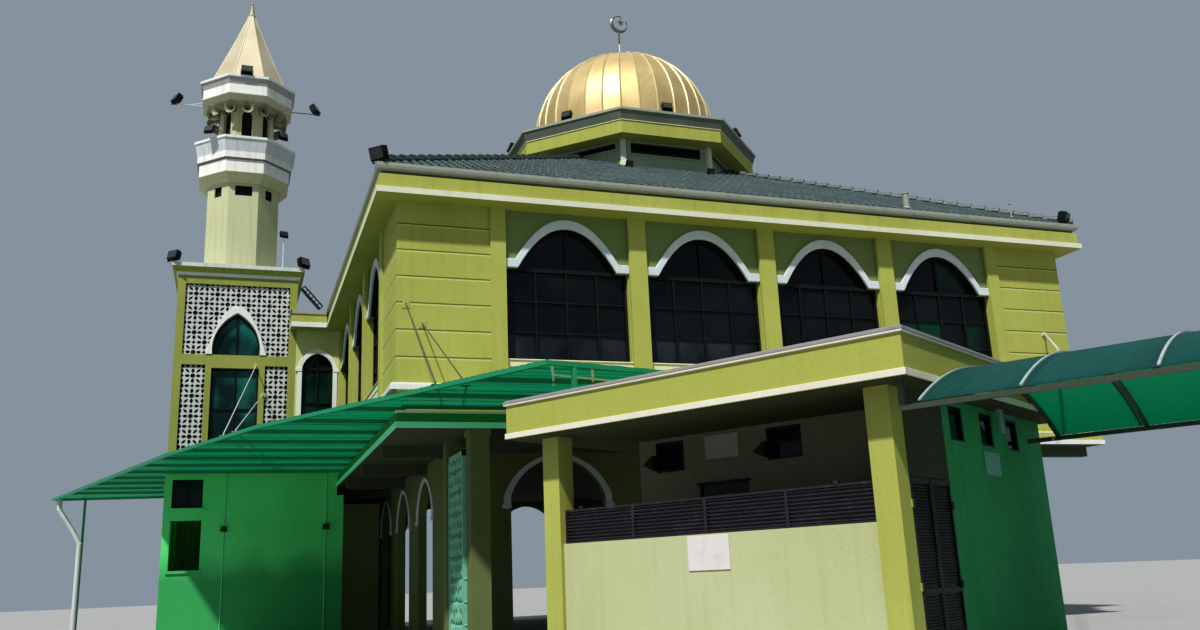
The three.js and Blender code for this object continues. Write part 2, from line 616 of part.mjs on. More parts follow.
function awningFrame() {
  const bottom = AWNING_BOTTOM - GAP - AWNING_BAR;
  const top = AWNING_BOTTOM - GAP;
  const half = AWNING_BAR / 2;
  const outline = [...AWNING_OUTER, ...AWNING_INNER];
  const whole = plan(polygon(outline), bottom, top);
  let frame = whole.subtract(plan(polygon(inset(outline, AWNING_BAR)), bottom - 10, top + 10));
  for (const y of AWNING_RAFTERS) frame = frame.add(box(-18000, -3000, y - half, y + half, bottom, top).intersect(whole));
  for (const [x, y] of AWNING_POSTS) {
    frame = frame.add(box(x - half, x + half, y - half, y + half, FIRST_FLOOR + GAP, bottom + 20));
  }
  const roofDeck = ANNEX.soffit + ANNEX_ROOF.slab;
  for (const [x, y] of AWNING_ROOF_POSTS) {
    frame = frame.add(box(x - half, x + half, y - half, y + half, roofDeck + GAP, bottom + 20));
  }
  const [postX, postY] = AWNING_STREET_POST;
  return frame.add(box(postX - half, postX + half, postY - half, postY + half, 0, bottom + 20));
}

// a taut stay from a lug on a wall face (which looks along -Y) to a lug on the awning's sheet
function stay(name, [wallX, wallY, wallZ], [footX, footY, footZ]) {
  const plate = 75;
  const lug = 12;
  const reach = 60;
  const anchor = box(wallX - plate, wallX + plate, wallY - 12, wallY - GAP, wallZ - plate, wallZ + plate)
    .add(box(wallX - lug, wallX + lug, wallY - reach, wallY - 10, wallZ - 2 * lug, wallZ + 2 * lug));
  const foot = box(footX - plate, footX + plate, footY - plate, footY + plate, footZ + GAP, footZ + 12)
    .add(box(footX - lug, footX + lug, footY - 2 * lug, footY + 2 * lug, footZ + 10, footZ + reach));
  const rod = bar([wallX, wallY - reach + 15, wallZ], [footX, footY, footZ + reach - 15], STAY_RADIUS, 6);
  return named(name, rod.add(anchor).add(foot), steel);
}

function awning() {
  const sheet = plan(polygon([...AWNING_OUTER, ...AWNING_INNER]), AWNING_BOTTOM, AWNING_BOTTOM + AWNING_THICKNESS);
  const top = AWNING_BOTTOM + AWNING_THICKNESS;
  const hallFace = -HALL_HALF - CORNER_PANEL_PROUD;
  const minaretFace = MINARET.y - MINARET.half;
  return [
    named('awning_sheet', sheet, greenSheet),
    named('awning_frame', awningFrame(), steel),
    stay('awning_stay_1', [-8560, hallFace, 7150], [-8680, -12760, top]),
    stay('awning_stay_2', [-8220, hallFace, 6740], [-8190, -12820, top]),
    stay('awning_stay_3', [-11300, minaretFace, 8235], [-12030, -6560, top]),
    stay('awning_stay_4', [-11068, minaretFace, 7330], [-11790, -7140, top]),
  ];
}

// Annex along the street
function annexWalls() {
  const { length, column, depth, wall } = ANNEX;
  const top = ANNEX.soffit - GAP;
  const inner = length - wall;
  const innerBack = INNER_WALL.front + wall;
  const innerOpenings = HOPPER_WINDOWS.map(([x0, x1]) => rectangle(x0, x1, HOPPER.sill, HOPPER.top));
  innerOpenings.push(rectangle(LOW_SLOT.left, LOW_SLOT.right, LOW_SLOT.sill, LOW_SLOT.top));
  const innerWall = pierced(rectangle(INNER_WALL.left, inner - GAP, 0, top), innerOpenings, INNER_WALL.front, innerBack);
  const roomWalls = box(INNER_WALL.left, INNER_WALL.left + wall, innerBack + GAP, depth, 0, top)
    .add(box(INNER_WALL.left, inner - GAP, depth - wall, depth, 0, top));
  const sideOpenings = SIDE_WINDOWS.centres.map((centre) => (
    rectangle(centre - SIDE_WINDOWS.half, centre + SIDE_WINDOWS.half, SIDE_WINDOWS.sill, SIDE_WINDOWS.top)
  ));
  const sideWall = turned(pierced(rectangle(DOORWAY.end, depth, 0, top), sideOpenings, -length, -inner), QUARTER);
  return [
    named('annex_left_column', box(0, column, 0, column, 0, top), lime),
    named('annex_right_column', box(length - column, length, 0, column, 0, top).add(hingeKnuckles(column, -1, 1)), lime),
    named('annex_low_wall', box(column + GAP, length - column - GAP, LOW_WALL.front, LOW_WALL.back, 0, LOW_WALL.top), paleLime),
    named('annex_louvre_band', box(
      column + GAP, length - column - GAP, LOUVRE.front, LOUVRE.back, LOW_WALL.top + GAP, LOUVRE.top,
    ), louvreBlack),
    named('annex_inner_wall', innerWall, paleLime),
    named('annex_room_walls', roomWalls, lime),
    named('annex_side_wall', sideWall.add(hingeKnuckles(DOORWAY.end, 1, 1)), shadedGreen),
    named('annex_wall_over_door', box(inner, length, column + GAP, DOORWAY.end - GAP, DOORWAY.top, top), shadedGreen),
  ];
}

// Hinge barrels on the door's outer face, in line with the hinge axis. The jamb's barrels stand below
// the leaf's. side is -1 for the jamb at the low end of y and 1 for the other.
function hingeAxis(jamb, side) {
  return { x: ANNEX.length + HINGE.radius + 4, y: jamb - side * (LEAF.clear / 2) };
}

function hingeKnuckles(jamb, side, level) {
  const { x, y } = hingeAxis(jamb, side);
  const { radius, height } = HINGE;
  let knuckles;
  for (const z of HINGE.levels) {
    const from = level === 1 ? z : z + height + GAP;
    const root = level === 1 ? jamb + side * 20 : jamb - side * 40;
    const plate = [y, root].sort((a, b) => a - b);
    const part = bar([x, y, from], [x, y, from + height], radius)
      .add(box(ANNEX.length + (level === 1 ? -5 : 3), x, plate[0], plate[1], from, from + height));
    knuckles = knuckles ? knuckles.add(part) : part;
  }
  return knuckles;
}

function doorLeaf(name, jamb, side) {
  const clear = LEAF.clear;
  const middle = (ANNEX.column + DOORWAY.end) / 2;
  const ends = [jamb - side * clear, middle + side * (LEAF.meeting / 2)].sort((a, b) => a - b);
  const outer = ANNEX.length - LEAF.inset + 24;
  const leaf = box(outer - LEAF.thickness, outer, ends[0], ends[1], LEAF.bottom, DOORWAY.top - LEAF.clear);
  return named(name, leaf.add(hingeKnuckles(jamb, side, 2)), louvreBlack);
}

function annexRoof() {
  const { left, right, front, back, slab, upstand } = ANNEX_ROOF;
  const tray = box(
    left + upstand, right - upstand, front + upstand, back - upstand, ANNEX.soffit + slab, ANNEX.roofTop + 100,
  );
  return box(left, right, front, back, ANNEX.soffit, ANNEX.roofTop).subtract(tray);
}

// Curved canopy at the annex's right
function canopyCurve(offset) {
  const { front, back, low, rise } = CANOPY;
  const half = (back - front) / 2;
  const radius = (half ** 2 + rise ** 2) / (2 * rise);
  const centreY = front + half;
  const centreZ = low + rise - radius;
  const spread = Math.asin(half / radius);
  return Array.from({ length: CANOPY_STEPS + 1 }, (unused, step) => {
    const angle = -spread + (2 * spread * step) / CANOPY_STEPS;
    return [centreY + (radius + offset) * Math.sin(angle), centreZ + (radius + offset) * Math.cos(angle)];
  });
}

// a band that follows the canopy's curve, from x0 to x1
function canopyBand(inner, outer, x0, x1) {
  const shape = polygon([...canopyCurve(inner), ...canopyCurve(outer).reverse()]);
  const geometry = new THREE.ExtrudeGeometry(shape, { depth: x1 - x0, bevelEnabled: false });
  return toSolid(geometry.rotateX(QUARTER).rotateZ(QUARTER).translate(x0, 0, 0));
}

function canopyFrame() {
  const { left, right, front, back, low } = CANOPY;
  const under = -GAP;
  const step = (right - left - CANOPY_BAR) / (CANOPY_RIBS - 1);
  let frame;
  for (let rib = 0; rib < CANOPY_RIBS; rib += 1) {
    const x = left + rib * step;
    const arched = canopyBand(under - CANOPY_BAR, under, x, x + CANOPY_BAR);
    frame = frame ? frame.add(arched) : arched;
  }
  const beamTop = low - 8;
  const beamBottom = beamTop - 60;
  const frontBeam = box(CANOPY_BEAM_LEFT, right, front - 10, front + 50, beamBottom, beamTop);
  const backBeam = box(ANNEX.length + GAP, right, back - 50, back + 10, beamBottom, beamTop);
  const crestZ = low + CANOPY.rise;
  const crestY = (front + back) / 2;
  const crest = box(left, right, crestY - 25, crestY + 25, crestZ - 60, crestZ - 10);
  const hanger = box(CANOPY_BEAM_LEFT, CANOPY_BEAM_LEFT + 60, front - 10, front + 50, beamBottom, ANNEX.soffit - GAP);
  frame = frame.add(frontBeam).add(backBeam).add(crest).add(hanger);
  for (const x of CANOPY_POSTS) {
    for (const y of [front + 20, back - 20]) frame = frame.add(bar([x, y, 0], [x, y, beamTop - 10], 40));
  }
  return frame;
}

function annex() {
  const group = new THREE.Group();
  group.position.set(ANNEX_PLACE.x, ANNEX_PLACE.y, 0);
  group.rotation.z = ANNEX_PLACE.turn;
  group.add(
    ...annexWalls(),
    named('annex_roof', annexRoof(), limeTrim),
    doorLeaf('annex_door_front_leaf', ANNEX.column, -1),
    doorLeaf('annex_door_rear_leaf', DOORWAY.end, 1),
    named('canopy_sheet', canopyBand(0, CANOPY.sheet, CANOPY.left, CANOPY.right), greenSheet),
    named('canopy_frame', canopyFrame(), steel),
  );
  return group;
}

const mosque = new THREE.Group();
mosque.add(
  ...groundFloor(),
  ...verandah(),
  ...upperFloor(),
  ...roofs(),
  ...minaret(),
  ...link(),
  ...sideRoom(),
  ...awning(),
  annex(),
);

export default mosque;
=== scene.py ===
"""Looks for the mosque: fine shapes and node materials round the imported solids. Metres, +Z up."""
import math
import random

import bmesh
import bpy
from mathutils import Matrix, Vector


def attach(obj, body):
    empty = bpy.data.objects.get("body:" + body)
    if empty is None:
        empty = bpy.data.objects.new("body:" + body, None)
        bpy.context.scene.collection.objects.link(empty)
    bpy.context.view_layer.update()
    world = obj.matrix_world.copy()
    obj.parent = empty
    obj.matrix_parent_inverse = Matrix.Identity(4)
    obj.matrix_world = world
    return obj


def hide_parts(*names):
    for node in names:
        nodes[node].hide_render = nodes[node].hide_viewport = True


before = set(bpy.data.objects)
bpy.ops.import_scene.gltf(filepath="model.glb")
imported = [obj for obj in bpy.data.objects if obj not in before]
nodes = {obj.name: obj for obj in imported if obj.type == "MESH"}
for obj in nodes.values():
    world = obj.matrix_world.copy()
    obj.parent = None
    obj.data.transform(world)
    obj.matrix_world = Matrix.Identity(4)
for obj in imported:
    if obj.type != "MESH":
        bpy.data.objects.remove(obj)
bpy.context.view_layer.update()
chance = random.Random(7)


def at(x, y, z=0.0):
    return Matrix.Translation((x, y, z))


def rotation(degrees, axis="Z"):
    return Matrix.Rotation(math.radians(degrees), 4, axis)


# Sizes shared with the solids
BAY = 3.32
BAYS = [-1.5 * BAY, -0.5 * BAY, 0.5 * BAY, 1.5 * BAY]
HALL_FACE = -8.70
WINDOW_HALF = 1.43
WINDOW_SILL = 6.07
WINDOW_HEAD = 8.12
WINDOW_ARCH_HALF = 1.14
WINDOW_ARCH_RISE = 0.96
PANEL_EDGE = 6.75
GROUND_FACE = -7.50
SLAB_HALF = 9.08
SLAB_BOTTOM = 4.23
SLAB_TOP = 4.50
VERANDAH_FRONT = -11.10
VERANDAH_RIGHT = 4.10
EAVE_TOP = 10.11
ROOF_HALF = 9.15
ROOF_SLOPE = 0.522
ROOF_TOP_HALF = 2.36
DRUM_HALF = 3.33
DRUM_TOP = 13.98
DOME_RADIUS = 2.95
DOME_SPRINGING = 15.44
LANTERN_TOP = 14.75
MINARET_X = -11.90
MINARET_Y = 5.02
MINARET_FACE = -1.77
SHAFT_FACE = -1.115
TURRET_FACE = -0.858
LINK_X = -9.46
LINK_FACE = 3.25
ANNEX_X = -7.614
ANNEX_Y = -15.341
ANNEX_TURN = math.radians(-59.5)
AWNING_BOTTOM = 4.68
ARCH_BULGE = 0.155

# Sizes of the fine shapes
ARCH_STEPS = 10
CONDUITS = (-11.98, -9.37)
AWNING_RIB = 0.12
CANOPY_RIB = 0.09

# Where along y the stays' wall plates start
MINARET_PLATE = MINARET_Y + MINARET_FACE - 0.02
HALL_PLATE = -8.78

SIDES = [rotation(90 * side) for side in range(4)]
EIGHTHS = [rotation(45 * side) for side in range(8)]
MINARET = at(MINARET_X, MINARET_Y)
ANNEX = at(ANNEX_X, ANNEX_Y) @ Matrix.Rotation(ANNEX_TURN, 4, "Z")


# Materials

def srgb(red, green, blue):
    def linear(value):
        share = value / 255
        return share / 12.92 if share <= 0.04045 else ((share + 0.055) / 1.055) ** 2.4

    return (linear(red), linear(green), linear(blue), 1.0)


class Look:
    """One node material whose patterns are laid out in metres."""

    def __init__(self, name, roughness, metallic=0.0, specular=0.5):
        self.material = bpy.data.materials.new(name)
        self.material.use_nodes = True
        self.tree = self.material.node_tree
        self.shader = self.tree.nodes["Principled BSDF"]
        self.shader.inputs["Roughness"].default_value = roughness
        self.shader.inputs["Metallic"].default_value = metallic
        self.shader.inputs["Specular IOR Level"].default_value = specular
        self.place = self.node("ShaderNodeTexCoord").outputs["Object"]
        axes = self.node("ShaderNodeSeparateXYZ")
        self.link(self.place, axes.inputs[0])
        self.x, self.y, self.z = axes.outputs
        self.normal = None

    def node(self, kind, **settings):
        node = self.tree.nodes.new(kind)
        for key, value in settings.items():
            setattr(node, key, value)
        return node

    def link(self, source, target):
        self.tree.links.new(source, target)

    def feed(self, source, target):
        """links a socket, or sets a number or a colour, which is three sRGB values in a tuple"""
        if isinstance(source, bpy.types.NodeSocket):
            self.link(source, target)
        else:
            target.default_value = srgb(*source) if isinstance(source, tuple) else source

    def math(self, operation, first, second=0.0):
        node = self.node("ShaderNodeMath", operation=operation)
        self.feed(first, node.inputs[0])
        self.feed(second, node.inputs[1])
        return node.outputs[0]

    def noise(self, scale, detail, stretch=(1, 1, 1)):
        mapping = self.node("ShaderNodeMapping")
        mapping.inputs["Scale"].default_value = stretch
        self.link(self.place, mapping.inputs["Vector"])
        noise = self.node("ShaderNodeTexNoise")
        noise.inputs["Scale"].default_value = scale
        noise.inputs["Detail"].default_value = detail
        self.link(mapping.outputs[0], noise.inputs["Vector"])
        return noise.outputs["Fac"]

    def spread(self, value, low, high, new_low=0.0, new_high=1.0):
        node = self.node("ShaderNodeMapRange")
        self.link(value, node.inputs["Value"])
        for key, number in zip(("From Min", "From Max", "To Min", "To Max"), (low, high, new_low, new_high)):
            node.inputs[key].default_value = number
        return node.outputs[0]

    def mix(self, share, first, second):
        node = self.node("ShaderNodeMix", data_type="RGBA")
        self.feed(share, node.inputs[0])
        self.feed(first, node.inputs[6])
        self.feed(second, node.inputs[7])
        return node.outputs[2]

    def over(self, tone, mask, share, colour):
        """a tone with a share of a colour over it, where the mask is 1"""
        return self.mix(self.math("MULTIPLY", mask, share), tone, colour)

    def bands(self, value, low, high, stops):
        """colours in steps: each stop is a level and the colour from there up"""
        share = self.spread(value, low, high)
        node = self.node("ShaderNodeValToRGB")
        ramp = node.color_ramp
        ramp.interpolation = "CONSTANT"
        while len(ramp.elements) < len(stops):
            ramp.elements.new(0.5)
        for element, stop in zip(ramp.elements, stops):
            element.position = (stop[0] - low) / (high - low)
        for element, stop in zip(ramp.elements, stops):
            element.color = srgb(*stop[1])
        self.link(share, node.inputs[0])
        return node.outputs[0]

    def colour(self, value):
        self.feed(value, self.shader.inputs["Base Color"])

    def rough(self, value, low, high):
        self.link(self.spread(value, 0.3, 0.7, low, high), self.shader.inputs["Roughness"])

    def bump(self, height, distance, strength=0.6):
        node = self.node("ShaderNodeBump")
        node.inputs["Strength"].default_value = strength
        node.inputs["Distance"].default_value = distance
        self.link(height, node.inputs["Height"])
        if self.normal:
            self.link(self.normal, node.inputs["Normal"])
        self.normal = node.outputs[0]
        self.link(self.normal, self.shader.inputs["Normal"])


def weathered(look, colour, shade, dirt, streaks):
    """paint that has faded in clouds, with rain streaks down it and a fine grain"""
    clouds = look.spread(look.noise(0.55, 5.0), 0.35, 0.65)
    runs = look.spread(look.noise(1.6, 5.0, (5, 5, 0.3)), 0.5, 0.8)
    specks = look.noise(30.0, 3.0)
    tone = look.over(look.mix(clouds, colour, shade), runs, streaks, dirt)
    tone = look.over(tone, look.spread(specks, 0.55, 0.8), 0.25, dirt)
    look.rough(specks, 0.75, 0.95)
    look.bump(specks, 0.004)
    return tone


def masonry(name, colour, shade, dirt, streaks=0.25):
    look = Look(name, 0.85, specular=0.3)
    look.colour(weathered(look, colour, shade, dirt, streaks))
    return look


def banded(name, low, high, stops, side=None, streaks=0.3):
    """paint in bands by height; side is the colour of the faces beside the awning"""
    look = Look(name, 0.8, specular=0.3)
    base = look.bands(look.z, low, high, stops)
    if side:
        at_left = look.math("LESS_THAN", look.x, 0.02 - SLAB_HALF)
        at_front = look.math("LESS_THAN", look.y, VERANDAH_FRONT + 0.02)
        base = look.mix(look.math("MAXIMUM", at_left, at_front), base, side)
    look.colour(weathered(look, base, base, (90, 92, 78), streaks))
    return look


def room_paint():
    """green paint, darker toward the ground as painted shade; part of its green stands in for the awning's
    green light
    """
    look = Look("green_wall_paint_low_shade", 0.85, specular=0.3)
    tone = weathered(look, (104, 230, 140), (92, 218, 126), (62, 162, 90), 0.12)
    # painted shade: darker toward the ground
    low = look.spread(look.math("ADD", look.z, look.noise(1.2, 4.0)), 2.3, 3.1, 0.8, 0.0)
    look.colour(look.mix(low, tone, (48, 140, 80)))
    return look


def hall_paint():
    """lime paint, with grooves across the corner panels drawn in painted shade with a painted highlight on
    their lip, and the eave's shadow painted as darker green fields over the windows
    """
    pitch, first, line = 0.577, 5.47, 0.026
    look = Look("hall_lime_paint", 0.85, specular=0.3)
    tone = weathered(look, (171, 176, 92), (161, 166, 82), (117, 120, 62), 0.25)
    width, depth = look.math("ABSOLUTE", look.x), look.math("ABSOLUTE", look.y)
    in_panel = look.math("GREATER_THAN", look.math("MINIMUM", width, depth), PANEL_EDGE)
    course = look.math("DIVIDE", look.math("SUBTRACT", look.z, first - pitch / 2), pitch)
    level = look.math("SUBTRACT", look.math("FRACT", course), 0.5)
    groove, lip = (
        look.math("MULTIPLY", in_panel, look.math("LESS_THAN", look.math("ABSOLUTE", height), line))
        for height in (level, look.math("ADD", level, 0.055))
    )
    recessed = look.math("LESS_THAN", look.math("MAXIMUM", width, depth), 0.04 - HALL_FACE)
    # painted shade: the eave's shadow as darker green over the windows
    painted_eave_shade = look.math("MULTIPLY", recessed, look.math("GREATER_THAN", look.z, WINDOW_HEAD - 0.1))
    tone = look.over(tone, painted_eave_shade, 0.85, (108, 128, 84))
    # painted highlight: a pale line on the lower lip of each groove
    tone = look.over(tone, lip, 0.55, (206, 212, 130))
    # painted shade: each groove drawn as a dark line
    look.colour(look.over(tone, groove, 0.85, (74, 84, 34)))
    look.bump(look.math("SUBTRACT", 1.0, groove), 0.02)
    return look


def tile_look(name, colour, pale):
    look = Look(name, 0.5, specular=0.5)
    patches = look.spread(look.noise(0.8, 5.0), 0.35, 0.65)
    pieces = look.spread(look.noise(3.1, 0.0), 0.35, 0.65)
    specks = look.noise(24.0, 4.0)
    tone = look.over(look.mix(patches, colour, pale), pieces, 0.4, (28, 44, 44))
    look.colour(look.over(tone, look.spread(specks, 0.55, 0.75), 0.35, (110, 120, 104)))
    look.rough(specks, 0.42, 0.68)
    look.bump(specks, 0.003)
    return look


def gold_look(name, colour, deep, metallic):
    look = Look(name, 0.36, metallic=metallic)
    clouds = look.spread(look.noise(1.1, 5.0), 0.35, 0.65)
    brushed = look.noise(14.0, 4.0, (1, 1, 0.2))
    tone = look.mix(clouds, colour, deep)
    look.colour(look.over(tone, look.spread(brushed, 0.5, 0.8), 0.15, (140, 118, 70)))
    look.rough(brushed, 0.44, 0.58)
    look.bump(look.noise(1.4, 1.0), 0.006, 0.3)
    return look


def glass_look(name, dark, light, share, specular=0.25):
    look = Look(name, 0.06, specular=specular)
    clouds = look.spread(look.noise(0.7, 4.0, (1, 1, 0.7)), 0.42, 0.62)
    # the light patches over the dark glass are painted reflections
    look.colour(look.over(dark, clouds, share, light))
    look.bump(look.noise(1.3, 1.0), 0.004, 0.3)
    look.rough(look.noise(4.0, 3.0), 0.04, 0.12)
    return look


def sheet_look(name, colour, deep, line, rib, turn, share, through=None, contrast=0.9):
    """translucent sheet, fine lines along its ribs; a share of the light goes through, tinted by through"""
    look = Look(name, 0.4, specular=0.4)
    across_x = look.math("MULTIPLY", look.x, math.cos(turn))
    across = look.math("ADD", across_x, look.math("MULTIPLY", look.y, math.sin(turn)))
    patches = look.spread(look.noise(0.5, 4.0), 0.35, 0.65)
    lines = look.node("ShaderNodeTexNoise", noise_dimensions="1D")
    lines.inputs["Scale"].default_value = 8.0
    lines.inputs["Detail"].default_value = 4.0
    look.link(across, lines.inputs["W"])
    dust = look.spread(look.noise(9.0, 5.0), 0.5, 0.75)
    tone = look.mix(patches, colour, deep)
    tone = look.mix(look.spread(lines.outputs["Fac"], 0.4, 0.62, 0.0, contrast), tone, line)
    tone = look.over(tone, dust, 0.25, (40, 104, 78))
    look.colour(tone)
    look.bump(look.math("SINE", look.math("MULTIPLY", across, 2 * math.pi / rib)), 0.004, 0.4)
    look.rough(look.noise(16.0, 3.0), 0.32, 0.5)
    glow = look.node("ShaderNodeBsdfTranslucent")
    look.feed(through or tone, glow.inputs["Color"])
    blend = look.node("ShaderNodeMixShader")
    blend.inputs[0].default_value = share
    look.link(look.shader.outputs[0], blend.inputs[1])
    look.link(glow.outputs[0], blend.inputs[2])
    look.link(blend.outputs[0], look.tree.nodes["Material Output"].inputs["Surface"])
    return look


def metal_paint(name, colour, worn, roughness=(0.35, 0.6), metallic=0.0, specular=0.5, plate=None):
    """painted metal; plate is where along y its wall plate starts, which is painted with the wall"""
    look = Look(name, 0.45, metallic, specular)
    specks = look.noise(22.0, 4.0)
    wear = look.spread(look.noise(6.0, 5.0), 0.55, 0.75)
    tone = look.over(colour, wear, 0.6, worn)
    if plate:
        tone = look.mix(look.math("GREATER_THAN", look.y, plate), tone, (164, 169, 88))
    look.colour(tone)
    look.rough(specks, *roughness)
    look.bump(specks, 0.001)
    return look


LIME = masonry("lime_paint_faded", (172, 176, 94), (161, 165, 83), (116, 119, 62))
HALL_LIME = hall_paint()
PALE_LIME = masonry("pale_lime_paint_faded", (196, 204, 140), (184, 192, 126), (140, 146, 96), 0.2)
LOW_WALL = masonry("low_wall_paint_faded", (182, 187, 146), (174, 179, 135), (142, 144, 106), 0.2)
# painted shade: the inner wall darkened for the shade under the annex roof
INNER_WALL_SHADED = masonry("inner_wall_paint_shaded", (120, 124, 100), (108, 112, 88), (76, 78, 58), 0.2)
CREAM = masonry("cream_paint_faded", (190, 193, 156), (181, 184, 144), (142, 142, 106), 0.35)
WHITE = masonry("white_paint_faded", (224, 227, 225), (213, 216, 212), (158, 160, 150), 0.3)
SHADE_GREEN = room_paint()
SIDE_GREEN = masonry("annex_green_paint_faded", (62, 162, 106), (46, 146, 90), (36, 98, 60), 0.2)
CONCRETE = masonry("floor_screed_worn", (158, 158, 150), (142, 142, 134), (98, 98, 92), 0.1)
LEDGE = masonry("ledge_paint_faded", (218, 220, 186), (208, 210, 172), (156, 156, 120), 0.3)
# painted shade: dark plates behind screens and in openings
SHADE_PLATE = masonry("dark_painted_shade", (26, 28, 25), (20, 22, 20), (13, 13, 13), 0.1)
LIME_TRIM = masonry("lime_trim_faded", (168, 172, 88), (158, 162, 78), (112, 116, 60), 0.3)
EAVE_GREY = masonry("eave_grey_green", (110, 120, 105), (87, 97, 83), (66, 73, 60), 0.35)
DRUM_PAINT = masonry("lantern_wall_paint", (142, 158, 134), (132, 148, 124), (98, 110, 90), 0.3)
POST_PAINT = masonry("lantern_post_paint", (196, 204, 184), (184, 192, 170), (140, 146, 124), 0.3)
# bluish white: the blue sky light of the shade painted in
ARCH_WHITE = masonry("arch_band_white_blue_shade", (204, 214, 220), (194, 204, 209), (148, 154, 154), 0.25)
DOOR_WALL = masonry("wall_over_door_paint", (74, 74, 60), (66, 66, 52), (50, 50, 38), 0.2)
STRIP = masonry("roof_strip_cream", (216, 213, 194), (208, 205, 184), (168, 164, 140), 0.15)
EAVE_STRIP = masonry("eave_strip_cream", (214, 216, 196), (205, 206, 184), (160, 160, 136), 0.2)
# painted shade: a darker lime for the ground floor under the slab
GROUND_LIME_SHADED = masonry("ground_lime_painted_shade", (106, 116, 72), (96, 105, 63), (68, 74, 42), 0.3)
# a darker lime than the hall's
MINARET_LIME = masonry("minaret_lime_paint_darker", (148, 154, 80), (138, 144, 72), (102, 106, 54), 0.3)
# a dimmer white; on the ground-floor arch bands it is painted shade
DIM_WHITE = masonry("white_paint_dim", (196, 201, 200), (186, 190, 188), (140, 143, 138), 0.3)
TILE = tile_look("roof_tile_glazed", (13, 29, 32), (21, 41, 43))
# painted highlight: paler tiles for the crests of the rolls and their fronts, where the sun catches them
TILE_CREST_HIGHLIGHT = tile_look("roof_tile_crest_highlight", (62, 80, 82), (74, 91, 91))
TILE_EDGE_HIGHLIGHT = tile_look("roof_tile_edge_highlight", (92, 108, 108), (106, 120, 118))
TILE_CAP = tile_look("roof_hip_cap", (44, 57, 58), (54, 68, 67))
GOLD = gold_look("gold_sheet_cladding", (206, 185, 137), (190, 167, 113), 0.6)
GOLD_SEAM = gold_look("gold_seam_bright", (216, 200, 156), (204, 186, 136), 0.4)
SPIRE_GOLD = gold_look("spire_gold_pale", (200, 191, 163), (186, 176, 146), 0.3)
SPIRE_TIP = gold_look("spire_tip_gold", (186, 178, 150), (150, 142, 108), 0.5)
BRONZE = metal_paint("finial_bronze", (104, 100, 84), (70, 68, 58), (0.35, 0.5), 0.5)
GLASS = glass_look("window_glass_dark", (9, 13, 15), (26, 33, 36), 0.5)
# lighter glass for the lowest hall panes: a painted reflection
GLASS_REFLECTION = glass_look("window_glass_painted_reflection", (16, 20, 23), (50, 56, 64), 0.8)
GLASS_GREEN = glass_look("window_glass_green", (7, 22, 20), (18, 72, 60), 0.5)
GLASS_TEAL = glass_look("window_glass_teal", (8, 34, 34), (38, 128, 116), 0.75)
FRAME_DARK = metal_paint("window_frame_bronze", (22, 24, 24), (38, 39, 37), specular=0.2)
GUTTER = metal_paint("gutter_grey", (146, 152, 140), (116, 121, 110))
GROOVE = metal_paint("groove_shadow_paint", (70, 80, 36), (58, 66, 30))
SILVER = metal_paint("silver_flashing", (158, 154, 150), (122, 118, 114), (0.35, 0.55), 0.3)
PALE_STEEL = metal_paint("frame_pale_paint", (206, 214, 206), (150, 156, 148))
TUBE_WHITE = metal_paint("tube_white_paint", (238, 242, 238), (196, 200, 196))
CLAMP = metal_paint("clamp_strip_grey_green", (150, 170, 164), (118, 136, 130))
STAY_STEEL = metal_paint("stay_rod_paint", (190, 194, 190), (130, 132, 128), plate=MINARET_PLATE)
STAY_DARK = metal_paint("stay_rod_dark", (78, 84, 66), (52, 56, 44), plate=HALL_PLATE)
ROD_STEEL = metal_paint("canopy_rod_paint", (200, 200, 186), (150, 148, 132))
CANOPY_STEEL = metal_paint("canopy_frame_paint", (62, 70, 58), (50, 54, 44))
AWNING_STEEL = metal_paint("awning_frame_green", (20, 134, 92), (16, 116, 76))
AWNING_LAP = metal_paint("awning_lap_green", (14, 104, 70), (10, 86, 56))
CONDUIT = metal_paint("conduit_pale_green", (128, 216, 164), (100, 184, 134))
BLACK = metal_paint("louvre_black_paint", (34, 32, 38), (60, 58, 66), (0.35, 0.55))
DOOR_BLACK = metal_paint("door_black_paint", (19, 19, 23), (32, 32, 38), (0.4, 0.6), specular=0.3)
LAMP_BLACK = metal_paint("lamp_body_black", (12, 13, 14), (30, 30, 31), specular=0.2)
LAMP_LENS = glass_look("lamp_lens", (36, 40, 42), (84, 90, 92), 0.6, 0.5)
# painted shade: cream horns darkened for the cornice's shade over them
HORN_SHADED = metal_paint("horn_cream_painted_shade", (134, 131, 104), (98, 95, 72))
BOARD = metal_paint("bare_board_white", (208, 203, 200), (188, 183, 179))
# painted shade: the same board dimmed under the soffit, and tinted green under the canopy
BOARD_SHADED = metal_paint("bare_board_painted_shade", (150, 146, 132), (128, 124, 112))
BOARD_GREEN_SHADE = metal_paint("bare_board_green_shade", (96, 160, 146), (78, 138, 124))
AWNING = sheet_look(
    "awning_sheet_emerald", (7, 118, 80), (5, 96, 63), (30, 144, 104), AWNING_RIB, math.radians(90), 0.58,
)
CANOPY_OUT = sheet_look(
    "canopy_sheet_outside", (27, 70, 84), (23, 62, 76), (33, 78, 90), CANOPY_RIB, ANNEX_TURN, 0.5,
    (110, 215, 190), 0.4,
)
CANOPY_IN = sheet_look(
    "canopy_sheet_inside", (14, 150, 108), (10, 130, 92), (30, 164, 124), CANOPY_RIB, ANNEX_TURN, 0.8,
    (44, 180, 138),
)
# the lowest band, on the soffit, is dark olive as painted shade
ANNEX_ROOF = banded("annex_roof_bands", 3.4, 4.0, [
    (3.40, (70, 74, 44)), (3.452, (160, 165, 80)), (3.92, (190, 190, 188)),
], streaks=0.08)
